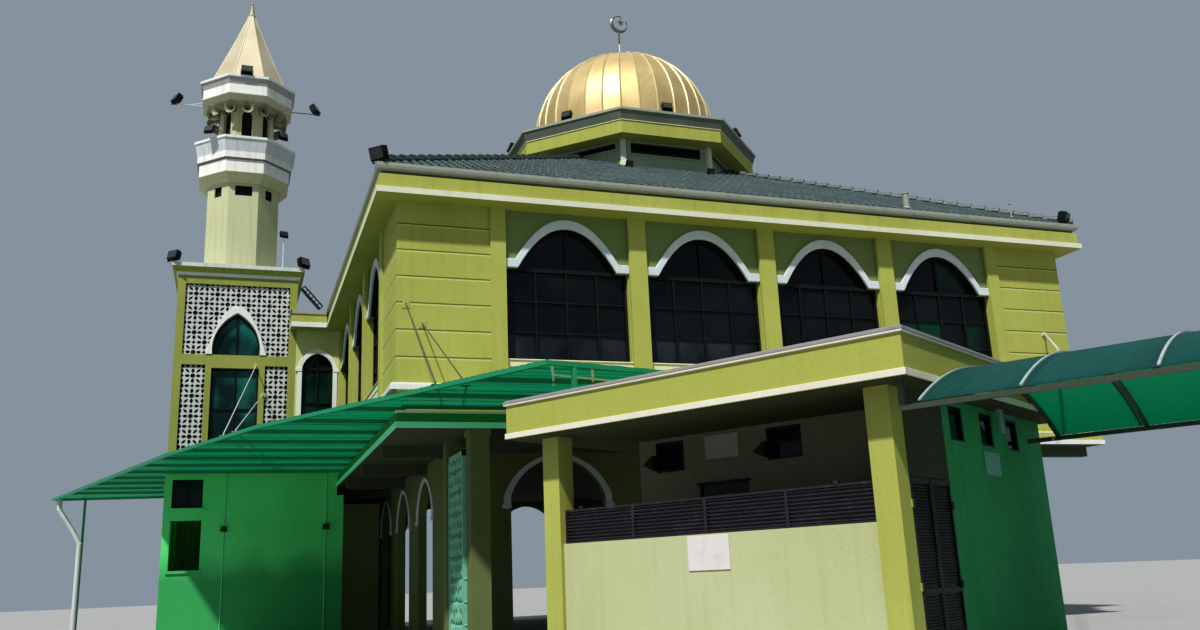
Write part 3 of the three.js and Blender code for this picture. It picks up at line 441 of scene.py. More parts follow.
# the lowest band, on the beams and soffit, is darkened as painted shade
SLAB_PAINT = banded("slab_edge_bands", 3.9, 4.6, [
    (3.90, (70, 78, 58)), (4.23, (222, 222, 208)), (4.34, (168, 176, 74)), (4.47, (196, 198, 150)),
], side=(38, 138, 68))
# mint green: white paint with the awning's green shade painted in
MINT = masonry("screen_mint_green_shade", (120, 182, 156), (106, 168, 142), (76, 118, 98), 0.3)
EDGE_GREEN = masonry("slab_edge_green_paint", (150, 255, 206), (134, 246, 192), (90, 180, 132), 0.2)
# the grey-blue band on the downward flare and the dark recess line are painted shade
BALCONY_PAINT = banded("balcony_bands", 14.4, 16.0, [
    (14.40, (196, 196, 158)), (14.74, (230, 231, 224)), (15.145, (122, 124, 118)), (15.205, (228, 229, 222)),
    (15.425, (206, 211, 215)), (15.84, (232, 232, 226)),
])
# the grey band on the downward flare is painted shade
TOP_CORNICE_PAINT = banded("top_cornice_bands", 17.3, 18.2, [
    (17.30, (190, 190, 160)), (17.50, (230, 231, 224)), (17.835, (168, 170, 164)), (18.07, (230, 231, 224)),
])
CORNICE_PAINT = banded("minaret_cornice_bands", 11.0, 11.5, [
    (11.00, (140, 150, 60)), (11.09, (150, 160, 72)), (11.285, (200, 206, 196)),
])


# Shapes

BOX_FACES = [(0, 1, 3, 2), (4, 6, 7, 5), (0, 4, 5, 1), (2, 3, 7, 6), (0, 2, 6, 4), (1, 5, 7, 3)]
BLOCK_FACES = [(0, 1, 2, 3), (7, 6, 5, 4), (0, 4, 5, 1), (1, 5, 6, 2), (2, 6, 7, 3), (3, 7, 4, 0)]


class Shape:
    """The points and faces of one piece. The slot numbers pick its materials."""

    def __init__(self, place=None):
        self.points = []
        self.faces = []
        self.slots = []
        self.place = place or Matrix.Identity(4)

    def add(self, points, faces, slot=0):
        start = len(self.points)
        self.points.extend(self.place @ Vector(point) for point in points)
        self.faces.extend([start + index for index in face] for face in faces)
        self.slots.extend([slot] * len(faces))

    def quad(self, *corners, slot=0):
        self.add(corners, [(0, 1, 2, 3)], slot)

    def box(self, low, high, slot=0):
        points = [(x, y, z) for x in (low[0], high[0]) for y in (low[1], high[1]) for z in (low[2], high[2])]
        self.add(points, BOX_FACES, slot)

    def pair(self, low, high, slot=0):
        """a box on the right and its mirror image on the left"""
        self.box((-high[0], *low[1:]), (-low[0], *high[1:]), slot)
        self.box(low, high, slot)

    def boxes(self, spans, y0, y1):
        """boxes of one depth, each from x to x and from z to z"""
        for x0, x1, z0, z1 in spans:
            self.box((x0, y0, z0), (x1, y1, z1))

    def border(self, x0, x1, z0, z1, wide, y0, y1):
        """the four bars of a window frame"""
        self.boxes([
            (x0, x1, z0, z0 + wide), (x0, x1, z1 - wide, z1),
            (x0, x0 + wide, z0, z1), (x1 - wide, x1, z0, z1),
        ], y0, y1)

    def plate(self, outline, y0, y1, slot=0):
        """an outline on the elevation, given thickness from y0 to y1"""
        count = len(outline)
        points = [(x, y, z) for y in (y0, y1) for x, z in outline]
        faces = [list(range(count)), list(range(2 * count - 1, count - 1, -1))]
        faces += [(i, count + i, count + (i + 1) % count, (i + 1) % count) for i in range(count)]
        self.add(points, faces, slot)

    def band(self, inner, outer, y0, y1, slot=0):
        """a strip on the elevation between two open curves of as many points"""
        count = len(inner)
        points = [(x, y, z) for y in (y0, y1) for curve in (inner, outer) for x, z in curve]
        faces = [tuple(row * count + end for row in (0, 1, 3, 2)) for end in (0, count - 1)]
        for first, second in ((0, 1), (1, 3), (3, 2), (2, 0)):
            for i in range(count - 1):
                a, b = first * count + i, second * count + i
                faces.append((a, b, b + 1, a + 1))
        self.add(points, faces, slot)

    def sheet(self, rows, slot=0, closed=False, capped=False):
        """faces between rows of as many points; closed joins each row's ends, capped fills the end rows"""
        width = len(rows[0])
        faces = []
        for low in range(0, (len(rows) - 1) * width, width):
            for i in range(width if closed else width - 1):
                faces.append((low + i, low + (i + 1) % width, low + width + (i + 1) % width, low + width + i))
        if capped:
            faces += [[row * width + i for i in range(width)] for row in (0, len(rows) - 1)]
        self.add([point for row in rows for point in row], faces, slot)

    def rod(self, start, end, radius, sides=8, end_radius=None, slot=0):
        start, end = Vector(start), Vector(end)
        turn = (end - start).to_track_quat("Z", "Y")
        rings = [
            [centre + turn @ Vector(around(size, side / sides)) for side in range(sides)]
            for centre, size in ((start, radius), (end, radius if end_radius is None else end_radius))
        ]
        self.sheet(rings, slot, closed=True, capped=True)

    def bars(self, points, radius, sides=8):
        for start, end in zip(points, points[1:]):
            self.rod(start, end, radius, sides)

    def swept(self, profile, sides, slots, closed=True):
        """a profile of apothem and height carried round an upright axis with flat sides"""
        start, count = len(self.points), len(profile)
        for apothem, height in profile:
            radius = apothem / math.cos(math.pi / sides)
            self.add([around(radius, (side + 0.5) / sides, height) for side in range(sides)], [])
        for span in range(count if closed else count - 1):
            low, high = start + span * sides, start + (span + 1) % count * sides
            for i in range(sides):
                self.faces.append([low + i, low + (i + 1) % sides, high + (i + 1) % sides, high + i])
                self.slots.append(slots[span] if isinstance(slots, list) else slots)

    def turned(self, profile, sides, slot=0):
        """a profile of distance and radius turned round the x axis of the shape's place"""
        rings = []
        for distance, radius in profile:
            circle = [around(radius, side / sides) for side in range(sides)]
            rings.append([(distance, y, z) for y, z, _ in circle])
        self.sheet(rings, slot, closed=True)

    def ball(self, centre, radius, slot=0, sides=12):
        kept = self.place
        self.place = kept @ at(*centre)
        steps = sides // 2
        angles = [math.pi * step / steps for step in range(steps + 1)]
        profile = [(-radius * math.cos(angle), max(radius * math.sin(angle), 0.0005)) for angle in angles]
        self.turned(profile, sides, slot)
        self.place = kept


def make(
    name, shape, looks, body="building", replaces=(), smooth=False, bevel=0.0, stage=False,
    turn_out=True,
):
    mesh = bpy.data.meshes.new(name)
    mesh.from_pydata([tuple(point) for point in shape.points], [], shape.faces)
    for look in looks:
        mesh.materials.append(look.material)
    mesh.polygons.foreach_set("material_index", shape.slots)
    if turn_out:
        work = bmesh.new()
        work.from_mesh(mesh)
        bmesh.ops.recalc_face_normals(work, faces=work.faces)
        work.to_mesh(mesh)
        work.free()
    piece = bpy.data.objects.new(name, mesh)
    bpy.context.scene.collection.objects.link(piece)
    if smooth:
        mesh.shade_smooth()
        mesh.set_sharp_from_angle(angle=math.radians(35))
    if bevel:
        edge = piece.modifiers.new("soft_edges", "BEVEL")
        edge.width = bevel
        edge.segments = 1
        edge.limit_method = "ANGLE"
        edge.angle_limit = math.radians(40)
    if stage:
        return
    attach(piece, body)
    if replaces:
        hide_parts(*replaces)


def around(radius, share, height=0.0):
    """the point of a circle at a share of a whole turn from the x axis"""
    angle = 2 * math.pi * share
    return (radius * math.cos(angle), radius * math.sin(angle), height)


def pointed_curve(half, rise, foot):
    """a pointed arch as two arcs, from its right foot over the top to its left foot"""
    chord = math.hypot(half, rise)
    sagitta = chord * ARCH_BULGE
    radius = chord ** 2 / (8 * sagitta) + sagitta / 2
    centre_x = half / 2 - (rise / chord) * (radius - sagitta)
    centre_z = rise / 2 - (half / chord) * (radius - sagitta)
    start = math.atan2(-centre_z, half - centre_x)
    end = math.atan2(rise - centre_z, -centre_x)
    angles = [start + (end - start) * step / ARCH_STEPS for step in range(ARCH_STEPS + 1)]
    centre_z += foot
    right = [(centre_x + radius * math.cos(angle), centre_z + radius * math.sin(angle)) for angle in angles]
    return right + [(-x, z) for x, z in reversed(right[:-1])]


def round_curve(half, rise, foot):
    """the hall windows' arch: straight legs and a round head"""
    shares = [1 - step / ARCH_STEPS for step in range(2 * ARCH_STEPS + 1)]
    return [(half * share, foot + rise * (1 - abs(share) ** 2.1)) for share in shares]


def legged(half, foot, curve):
    """a curve with a straight leg down to its foot at each end"""
    return [(half, foot)] + curve + [(-half, foot)]


def bay_places(face):
    """the middle of each bay on the four walls, side by side"""
    return [turn @ at(centre, face) for turn in SIDES for centre in BAYS]


def leftness(start, end, point):
    """above nought for a point on the left of the line from start to end"""
    return (end[0] - start[0]) * (point[1] - start[1]) - (end[1] - start[1]) * (point[0] - start[0])


def edges_of(outline):
    return zip(outline, outline[1:] + outline[:1])


def cut(outline, start, end, side):
    """the part of a convex outline on the left of a line, or on its right with side -1"""
    kept = []
    for point, following in edges_of(outline):
        here, there = side * leftness(start, end, point), side * leftness(start, end, following)
        if here >= 0:
            kept.append(point)
        if here * there < 0:
            share = here / (here - there)
            kept.append(tuple(a + share * (b - a) for a, b in zip(point, following)))
    return kept if len(kept) > 2 else []


def without(outline, hole):
    """an outline less a convex, counterclockwise hole, as convex parts"""
    parts = []
    for start, end in edges_of(hole):
        parts.append(cut(outline, start, end, -1))
        outline = cut(outline, start, end, 1)
    return [part for part in parts if part]


def within(outline, low, high):
    for start, end in edges_of([low, (high[0], low[1]), high, (low[0], high[1])]):
        outline = cut(outline, start, end, 1)
    return outline


def holds(hole, point):
    return all(leftness(start, end, point) > 0 for start, end in edges_of(hole))


def cell_hole(column, row):
    """the hole of one screen cell, as reaches in shares of the cell at even turns from its right"""
    if (column % 4, row % 4) in ((0, 0), (2, 2)):
        return [0.495, 0.44] * 8
    if column % 2 == 0 and row % 2 == 0:
        return [0.48, 0.24] * 4
    if (column + row) % 2 == 0:
        petal = [0.30, 0.60, 0.30, 0.26] if (column + row) % 4 == 2 else [0.30, 0.26, 0.30, 0.60]
        return petal * 2
    wide, high = (0.49, 0.34) if row % 2 == 0 else (0.34, 0.49)
    return [wide, 0.36, high, 0.36] * 2


def star_screen(shape, low, high, origin, tile, y0, y1, hole=None):
    """a pierced screen on the elevation: stars, each in a ring of petals, with crosses between them"""
    first = [math.floor((low[axis] - origin[axis]) / tile) for axis in (0, 1)]
    last = [math.ceil((high[axis] - origin[axis]) / tile) + 1 for axis in (0, 1)]
    hole_sides = [(min(side), max(side)) for side in zip(*hole)] if hole else []
    for column in range(first[0], last[0]):
        for row in range(first[1], last[1]):
            x, z = origin[0] + column * tile, origin[1] + row * tile
            near_hole = hole and all(
                least < middle + tile and middle - tile < most
                for (least, most), middle in zip(hole_sides, (x, z))
            )
            ring, edge = [], []
            reaches = cell_hole(column, row)
            for step, reach in enumerate(reaches):
                east, north, _ = around(1, step / len(reaches))
                out = 0.5 / max(abs(east), abs(north))
                ring.append((x + tile * reach * east, z + tile * reach * north))
                edge.append((x + tile * out * east, z + tile * out * north))
            for (a, b), (outer_a, outer_b) in zip(edges_of(ring), edges_of(edge)):
                quad = within([outer_a, outer_b, b, a], low, high)
                for part in without(quad, hole) if near_hole else [quad]:
                    if part:
                        for y in (y0, y1):
                            shape.add([(x, y, z) for x, z in part], [list(range(len(part)))])
                middle = ((a[0] + b[0]) / 2, (a[1] + b[1]) / 2)
                inside = low[0] < middle[0] < high[0] and low[1] < middle[1] < high[1]
                if inside and not (near_hole and holds(hole, middle)):
                    shape.quad((a[0], y0, a[1]), (b[0], y0, b[1]), (b[0], y1, b[1]), (a[0], y1, a[1]))


# Prayer hall

def hall_windows():
    columns = [-WINDOW_HALF, -0.715, 0.0, 0.715, WINDOW_HALF]
    rows = [WINDOW_SILL, 6.70, 7.40, WINDOW_HEAD]
    pane_front, pane_back, most_lean = 0.17, 0.185, 0.004
    tinted_share = 0.35
    shape = Shape()
    for number, place in enumerate(bay_places(HALL_FACE)):
        shape.place = place
        green = number == 3 or number // len(BAYS) in (1, 3)
        for x0, x1 in zip(columns, columns[1:]):
            for z0, z1 in zip(rows, rows[1:]):
                # the lowest row of panes gets the lighter glass, a painted reflection
                pane = 2 if green and chance.random() < tinted_share else 3 if z0 == WINDOW_SILL else 1
                lean = chance.uniform(-most_lean, most_lean)
                points = []
                for left_y, right_y in ((pane_front + lean, pane_front - lean), (pane_back, pane_back)):
                    points += [(x0, left_y, z0), (x1, right_y, z0), (x1, right_y, z1), (x0, left_y, z1)]
                shape.add(points, BLOCK_FACES, pane)
        curve = round_curve(WINDOW_ARCH_HALF, WINDOW_ARCH_RISE, WINDOW_HEAD)
        half_way = len(curve) // 2
        shape.plate([(0, WINDOW_HEAD)] + curve[:half_way + 1], pane_front, pane_back, 2 if green else 1)
        shape.plate([(0, WINDOW_HEAD)] + curve[half_way:], pane_front + 0.002, pane_back, 1)
        for less, y0, y1 in ((0.06, 0.12, 0.17), (0.02, 0.01, 0.13)):
            inner = round_curve(WINDOW_ARCH_HALF - less, WINDOW_ARCH_RISE - less, WINDOW_HEAD)
            shape.band(inner, curve, y0, y1)
        uprights = [(x, 0.025, 0.125) for x in columns[1:-1]]
        uprights += [(x, 0.03, 0.12) for x in (0.03 - WINDOW_HALF, WINDOW_HALF - 0.03)]
        for x, wide, proud in uprights:
            shape.box((x - wide, proud, WINDOW_SILL), (x + wide, 0.18, WINDOW_HEAD))
        for z, high, proud in (
            (WINDOW_SILL + 0.03, 0.03, 0.115), (rows[1], 0.018, 0.13), (rows[2], 0.018, 0.13),
            (WINDOW_HEAD, 0.045, 0.115),
        ):
            shape.box((-WINDOW_HALF, proud, z - high), (WINDOW_HALF, 0.178, z + high))
        shape.box((-0.025, 0.125, WINDOW_HEAD), (0.025, 0.178, WINDOW_HEAD + WINDOW_ARCH_RISE - 0.04))
    looks = [FRAME_DARK, GLASS, GLASS_GREEN, GLASS_REFLECTION]
    make("hall_windows", shape, looks, replaces=["hall_window_glass"])


def hall_trims():
    bands, sills = Shape(), Shape()
    for place in bay_places(HALL_FACE):
        bands.place = sills.place = place
        inner = round_curve(WINDOW_ARCH_HALF, WINDOW_ARCH_RISE, WINDOW_HEAD)
        bands.band(inner, round_curve(1.31, 1.17, WINDOW_HEAD), -0.06, 0.01)
        bands.pair((WINDOW_ARCH_HALF, -0.065, WINDOW_HEAD - 0.01), (1.45, 0.01, WINDOW_HEAD + 0.19))
        for proud, back, low, high in (
            (0.03, 0.01, 0.50, 0.17), (0.045, 0.01, 0.17, 0.03), (0.07, 0.06, 0.03, 0),
        ):
            sills.box((-1.448, -proud, WINDOW_SILL - low), (1.448, back, WINDOW_SILL - high))
    make("hall_arch_bands", bands, [ARCH_WHITE], bevel=0.012)
    for turn in SIDES:
        sills.place = turn
        sills.pair((PANEL_EDGE, -8.88, 5.34), (8.86, -8.74, 5.46), 1)
        sills.pair((PANEL_EDGE, -8.85, 5.46), (8.86, -8.74, 5.49), 1)
    make("hall_sills", sills, [LEDGE, WHITE], bevel=0.008)


def ground_trims():
    shape = Shape()
    for number, place in enumerate(bay_places(GROUND_FACE)):
        shape.place = place
        on_front_or_back = number // len(BAYS) % 2 == 0
        half, spring, rise = (1.09, 3.28, 0.83) if on_front_or_back else (0.95, 3.15, 0.70)
        foot, outer_half = spring - 0.18, half + 0.16
        inner = legged(half, foot, pointed_curve(half, rise, spring))
        outer = legged(outer_half, foot, pointed_curve(outer_half, rise + 0.1, spring))
        shape.band(inner, outer, -0.035, 0.01)
        shape.pair((half, -0.05, foot - 0.08), (half + 0.2, 0.01, foot + 0.01))
    # the dimmer white on these bands is painted shade
    make("ground_arch_bands", shape, [DIM_WHITE], bevel=0.008)


def slab_edge():
    shape = Shape()
    near, far = SLAB_HALF, SLAB_HALF + 0.025
    front, right = VERANDAH_FRONT - 0.025, VERANDAH_RIGHT + 0.025
    for x0, y0, x1, y1, slot in (
        (-far, front, right, VERANDAH_FRONT + 0.01, 2),
        (VERANDAH_RIGHT - 0.01, VERANDAH_FRONT, right, -near, 0),
        (VERANDAH_RIGHT, -far, far, 0.01 - near, 0), (near - 0.01, -near, far, near, 0),
        (-far, VERANDAH_FRONT, 0.01 - near, 3.20, 2), (-near, near - 0.01, far, far, 0),
    ):
        shape.box((x0, y0, SLAB_BOTTOM), (x1, y1, SLAB_BOTTOM + 0.11), slot)
    for x0, y0, x1, y1 in (
        (-near - 0.01, VERANDAH_FRONT - 0.01, VERANDAH_RIGHT + 0.01, VERANDAH_FRONT + 0.12),
        (VERANDAH_RIGHT + 0.01, -near - 0.01, near + 0.01, 0.12 - near),
    ):
        shape.box((x0, y0, SLAB_TOP), (x1, y1, SLAB_TOP + 0.05), 1)
    for x in (-7.56, -2.52, 2.52):
        shape.box((x - 0.21, VERANDAH_FRONT, 4.10), (x + 0.21, -10.69, SLAB_BOTTOM - 0.004), 3)
        shape.box((x - 0.20, -11.09, 0), (x + 0.20, -10.71, 0.16), 1)
    make("slab_edge_strip", shape, [WHITE, LEDGE, EDGE_GREEN, GROUND_LIME_SHADED], bevel=0.006)
    screen = Shape(rotation(-90))
    star_screen(screen, (9.36, 0.12), (10.71, 3.80), (10.035, 1.96), 0.2, -7.80, -7.75)
    left, right, top = 9.352, 10.715, 3.88
    screen.boxes([
        (left, right, top - 0.10, top), (left, right, 0, 0.14), (left, 9.42, 0, top), (10.65, right, 0, top),
    ], -7.81, -7.74)
    make(
        "verandah_star_screen", screen, [MINT], replaces=["verandah_lattice_screen"],
        turn_out=False,
    )


def hall_eave():
    shape = Shape()
    profile = [
        (8.41, 9.43), (9.25, 9.43), (9.25, 9.56), (9.19, 9.565), (9.19, 9.86), (9.12, 9.865),
        (9.12, 9.925), (9.17, 9.93), (9.235, 9.965), (9.25, 10.02), (9.25, 10.09), (9.2, 10.105),
        (9.12, 10.105), (8.41, 10.09),
    ]
    shape.swept(profile, 4, [1, 0, 0, 1, 1, 3, 2, 2, 2, 2, 2, 2, 2, 1])
    looks = [EAVE_STRIP, LIME_TRIM, GUTTER, GROOVE]
    make("hall_boxed_eave", shape, looks, replaces=["hall_eave"])


def roof_height(distance):
    """the height of the roof's plane at a distance from the middle of the hall"""
    return EAVE_TOP + (ROOF_HALF - distance) * ROOF_SLOPE


def tiled_roof():
    courses, step, wave = 21, 0.05, 0.2
    run = (ROOF_HALF - ROOF_TOP_HALF) / courses
    shape = Shape()

    def tile_row(xs, distance, lift):
        limit = min(distance, ROOF_HALF + 0.03)
        level = roof_height(distance) + 0.012 + lift
        heights = [level + 0.017 * math.cos(2 * math.pi * x / wave) for x in xs]
        return [(max(-limit, min(limit, x)), -distance, height) for x, height in zip(xs, heights)]

    for turn in SIDES:
        shape.place = turn
        for course in range(courses):
            near = ROOF_HALF - course * run
            count = round(near / step)
            xs = [-near] + [index * step for index in range(1 - count, count)] + [near]
            foot, lip = tile_row(xs, near + 0.03, 0.008), tile_row(xs, near + 0.03, 0.045)
            top = tile_row(xs, near - run, 0.01)
            for index in range(len(xs) - 1):
                middle = abs(xs[index] + step / 2)
                under_lantern = near < DRUM_HALF + 0.1 and middle + near < 4.71
                if under_lantern or middle > near:
                    continue
                # painted highlight: the crest half of each roll and its front get the paler tiles
                on_crest = math.cos(math.pi * (xs[index] + xs[index + 1]) / wave) > 0
                for low, high, slot in ((foot, lip, 1), (lip, top, 2)):
                    corners = (low[index], low[index + 1], high[index + 1], high[index])
                    shape.quad(*corners, slot=slot if on_crest else 0)
        far, near, base = ROOF_HALF, 8.8, EAVE_TOP + 0.004
        shape.quad((-far, -far, base), (far, -far, base), (near, -near, base), (-near, -near, base))
    make(
        "hall_tile_courses", shape, [TILE, TILE_EDGE_HIGHLIGHT, TILE_CREST_HIGHLIGHT], replaces=["hall_tiled_roof"],
        turn_out=False,
    )
    caps = Shape()
    count = 27
    run = (ROOF_HALF - ROOF_TOP_HALF) / count
    for turn in SIDES:
        caps.place = turn
        for index in range(count):
            near = ROOF_HALF + 0.01 - index * run
            far = near - 1.12 * run
            start = (near, -near, roof_height(near) + 0.06)
            caps.rod(start, (far, -far, roof_height(far) + 0.03), 0.12, 8, 0.095)
    make("hall_hip_caps", caps, [TILE_CAP], smooth=True)
    vents = Shape()
    distance = 8.9
    base = roof_height(distance)
    for x, radius in ((4.09, 0.08), (7.38, 0.022)):
        for low, high, foot, top in ((-0.05, 0.40, 0, 0), (0.40, 0.43, 0.015, 0.015), (0, 0.06, 0.05, 0)):
            start, end = (x, -distance, base + low), (x, -distance, base + high)
            vents.rod(start, end, radius + foot, 12, radius + top)
    make("roof_vents", vents, [GUTTER])


# Lantern and dome

def lantern():
    posts = Shape()
    corner = rotation(22.5) @ at(0, -DRUM_HALF / math.cos(math.pi / 8))
    for turn in EIGHTHS:
        posts.place = turn @ corner
        posts.box((-0.085, -0.09, 11.95), (0.085, 0.16, DRUM_TOP - 0.002))
        posts.box((-0.11, -0.11, 12.0), (0.11, 0.16, 13.28), 1)
        posts.box((-0.20, -0.16, 12.0), (0.20, 0.16, 12.62), 1)
    make("lantern_posts", posts, [POST_PAINT, LEDGE], bevel=0.01)
    glass = Shape()
    half, head, bar = 1.13, 13.93, 0.045
    edges = [-half, -half / 2, 0, half / 2, half]
    for side, turn in enumerate(EIGHTHS):
        sill = 13.58 if side % 2 == 0 else 13.74
        glass.place = turn @ at(0, -DRUM_HALF)
        for x0, x1 in zip(edges, edges[1:]):
            glass.box((x0, 0.10, sill), (x1, 0.115, head), 1)
            glass.box((x1 - 0.02, 0.07, sill), (x1 + 0.02, 0.12, head))
        glass.boxes([(-half, half, sill, sill + bar), (-half, half, head - bar, head)], 0.07, 0.12)
        glass.box((-1.2, -0.03, sill - 0.05), (1.2, 0.08, sill - 0.004), 2)
    looks = [FRAME_DARK, GLASS, DRUM_PAINT]
    make("lantern_windows", glass, looks, replaces=["lantern_window_glass"])
    eave = Shape()
    profile = [
        (2.76, 13.982), (3.84, 13.982), (3.84, 14.375), (3.865, 14.378), (3.865, 14.395), (3.85, 14.40),
        (3.94, 14.665), (3.965, 14.67), (3.965, 14.742), (3.94, 14.75), (2.76, 14.75),
    ]
    eave.swept(profile, 8, [0, 0, 1, 1, 1, 2, 3, 3, 3, 3, 3])
    looks = [LIME_TRIM, LEDGE, EAVE_GREY, GUTTER]
    make("lantern_stepped_eave", eave, looks, replaces=["lantern_eave"])


def gored_dome():
    gores, steps = 32, 14
    shape = Shape()
    profile = [(DOME_RADIUS, LANTERN_TOP), (DOME_RADIUS, 15.1)]
    for step in range(steps + 1):
        out, up, _ = around(DOME_RADIUS, 0.25 * step / steps)
        profile.append((max(out, 0.05), DOME_SPRINGING + up))
    for gore in range(gores):
        start, end = gore / gores, (gore + 1) / gores
        shape.sheet([[around(radius, share, height) for share in (start, end)] for radius, height in profile])
        outward = Vector(around(1, start))
        across = Vector((-outward.y, outward.x, 0))
        rows = []
        for radius, height in profile:
            thin = across * min(0.028, radius * 0.08)
            tilt = max(0.0, height - DOME_SPRINGING) / DOME_RADIUS
            out = outward * math.sqrt(max(0.0, 1 - tilt ** 2)) + Vector((0, 0, tilt))
            foot = Vector(around(radius, start, height))
            rows.append([foot - thin, foot + out * 0.035, foot + thin])
        shape.sheet(rows, 1)
    foot = LANTERN_TOP + 0.001
    collar = [(2.90, foot), (3.03, foot), (3.05, 14.80), (3.03, 14.86), (2.96, 14.88)]
    shape.swept(collar, gores, 1, closed=False)
    cap = [(0.34, 18.35), (0.33, 18.40), (0.22, 18.44), (0.12, 18.47), (0.05, 18.48)]
    shape.swept(cap, 16, 1, closed=False)
    looks = [GOLD, GOLD_SEAM]
    make("dome_gores", shape, looks, replaces=["dome"], smooth=True, turn_out=False)


def moon(shape, radius, centre, depth, toward):
    """a crescent, lens-shaped in section, whose horns point toward the given angle on the elevation"""
    steps = 24
    hollow = Vector(around(radius * 0.3, toward / 360))
    rows = []
    for step in range(steps + 1):
        way = Vector(around(1, (toward - 18 - 324 * step / steps) / 360))
        reach = hollow.dot(way)
        inside = reach + math.sqrt(max(0.0, (radius * 0.8) ** 2 - hollow.length_squared + reach ** 2))
        inner = min(inside, radius * 0.99)
        middle = (radius + inner) / 2
        rows.append([
            (centre[0] + size * way.x, centre[1] + y, centre[2] + size * way.y)
            for size, y in ((radius, 0), (middle, -depth), (inner, 0), (middle, depth))
        ])
    shape.sheet(rows, closed=True, capped=True)


def dome_finial():
    shape = Shape()
    shape.rod((0, 0, 18.40), (0, 0, 18.62), 0.13, 12, 0.06)
    shape.rod((0, 0, 18.60), (0, 0, 19.56), 0.026, 10, slot=1)
    shape.rod((0, 0, 19.10), (0, 0, 19.56), 0.034, 10)
    level = 19.84
    moon(shape, 0.32, (0, 0, level), 0.03, 50)
    star = []
    for step in range(10):
        x, z, _ = around(0.13 if step % 2 == 0 else 0.055, 0.25 + step / 10)
        star.append((0.08 + x, level + 0.09 + z))
    shape.plate(star, -0.014, 0.014)
    shape.rod((-0.13, 0, level - 0.15), (0.07, 0, level + 0.08), 0.009, 6)
    looks = [BRONZE, PALE_STEEL]
    make("dome_finial_crescent", shape, looks, replaces=["dome_finial"], smooth=True)


# Minaret

def minaret_screens():
    tile = 1.54 / 10
    hole = [(-0.71, 8.55), (0.71, 8.55)] + pointed_curve(0.71, 1.31, 8.57)
    front, back = MINARET_FACE + 0.06, MINARET_FACE + 0.10
    shape = Shape()
    for turn in SIDES:
        shape.place = MINARET @ turn
        star_screen(shape, (-1.54, 8.56), (1.54, 10.79), (0.0, 10.79 - 14 * tile), tile, front, back, hole)
        # dark plates behind the screens: painted shade
        for part in without([(-1.56, 8.54), (1.56, 8.54), (1.56, 10.81), (-1.56, 10.81)], hole):
            shape.plate(part, back - 0.006, back, 1)
        for x0, x1 in ((-1.54, -0.865), (0.865, 1.54)):
            star_screen(shape, (x0, 5.2), (x1, 8.24), ((x0 + x1) / 2, 7.90), tile, front, back)
            # a dark plate behind the lower screens: painted shade
            shape.box((x0 - 0.01, back - 0.006, 5.19), (x1 + 0.01, back, 8.25), 1)
    make(
        "minaret_star_screens", shape, [DIM_WHITE, SHADE_PLATE], replaces=["minaret_lattice"],
        turn_out=False,
    )
    trim, glass = Shape(), Shape()
    half, sill, middle, top, head = 0.69, 5.40, 6.9, 8.15, 8.57
    tinted_share = 0.8
    for side, turn in enumerate(SIDES):
        trim.place = glass.place = MINARET @ turn @ at(0, MINARET_FACE)
        inner = legged(half - 0.01, head, pointed_curve(half, 1.29, 8.60))
        trim.band(inner, legged(0.88, head, round_curve(0.88, 1.50, 8.60)), -0.03, 0.09)
        trim.box((-0.74, -0.03, sill - 0.07), (0.74, 0.06, sill))
        pane = 2 if side in (0, 3) else 1
        for x0, x1 in ((-half, 0.0), (0.0, half)):
            for z0, z1 in ((sill, middle), (middle, top)):
                glass.box((x0, 0.15, z0), (x1, 0.165, z1), pane if chance.random() < tinted_share else 1)
        uprights = [(x - 0.025, x + 0.025, sill, top) for x in (0.025 - half, 0.0, half - 0.025)]
        glass.boxes(uprights, 0.10, 0.16)
        for z in (sill + 0.025, middle, top - 0.025):
            glass.box((-half, 0.105, z - 0.025), (half, 0.158, z + 0.025))
        curve = pointed_curve(half, 1.29, head)
        glass.plate([(-half, 8.56), (half, 8.56)] + curve, 0.15, 0.165, 2)
        glass.band(pointed_curve(0.64, 1.22, head), curve, 0.10, 0.15)
        glass.boxes([(-0.025, 0.025, 8.56, 9.8), (-half, half, 8.56, 8.61)], 0.10, 0.158)
    make("minaret_window_trim", trim, [WHITE], bevel=0.008)
    looks = [FRAME_DARK, GLASS, GLASS_TEAL]
    make("minaret_windows", glass, looks, replaces=["minaret_window_glass"])


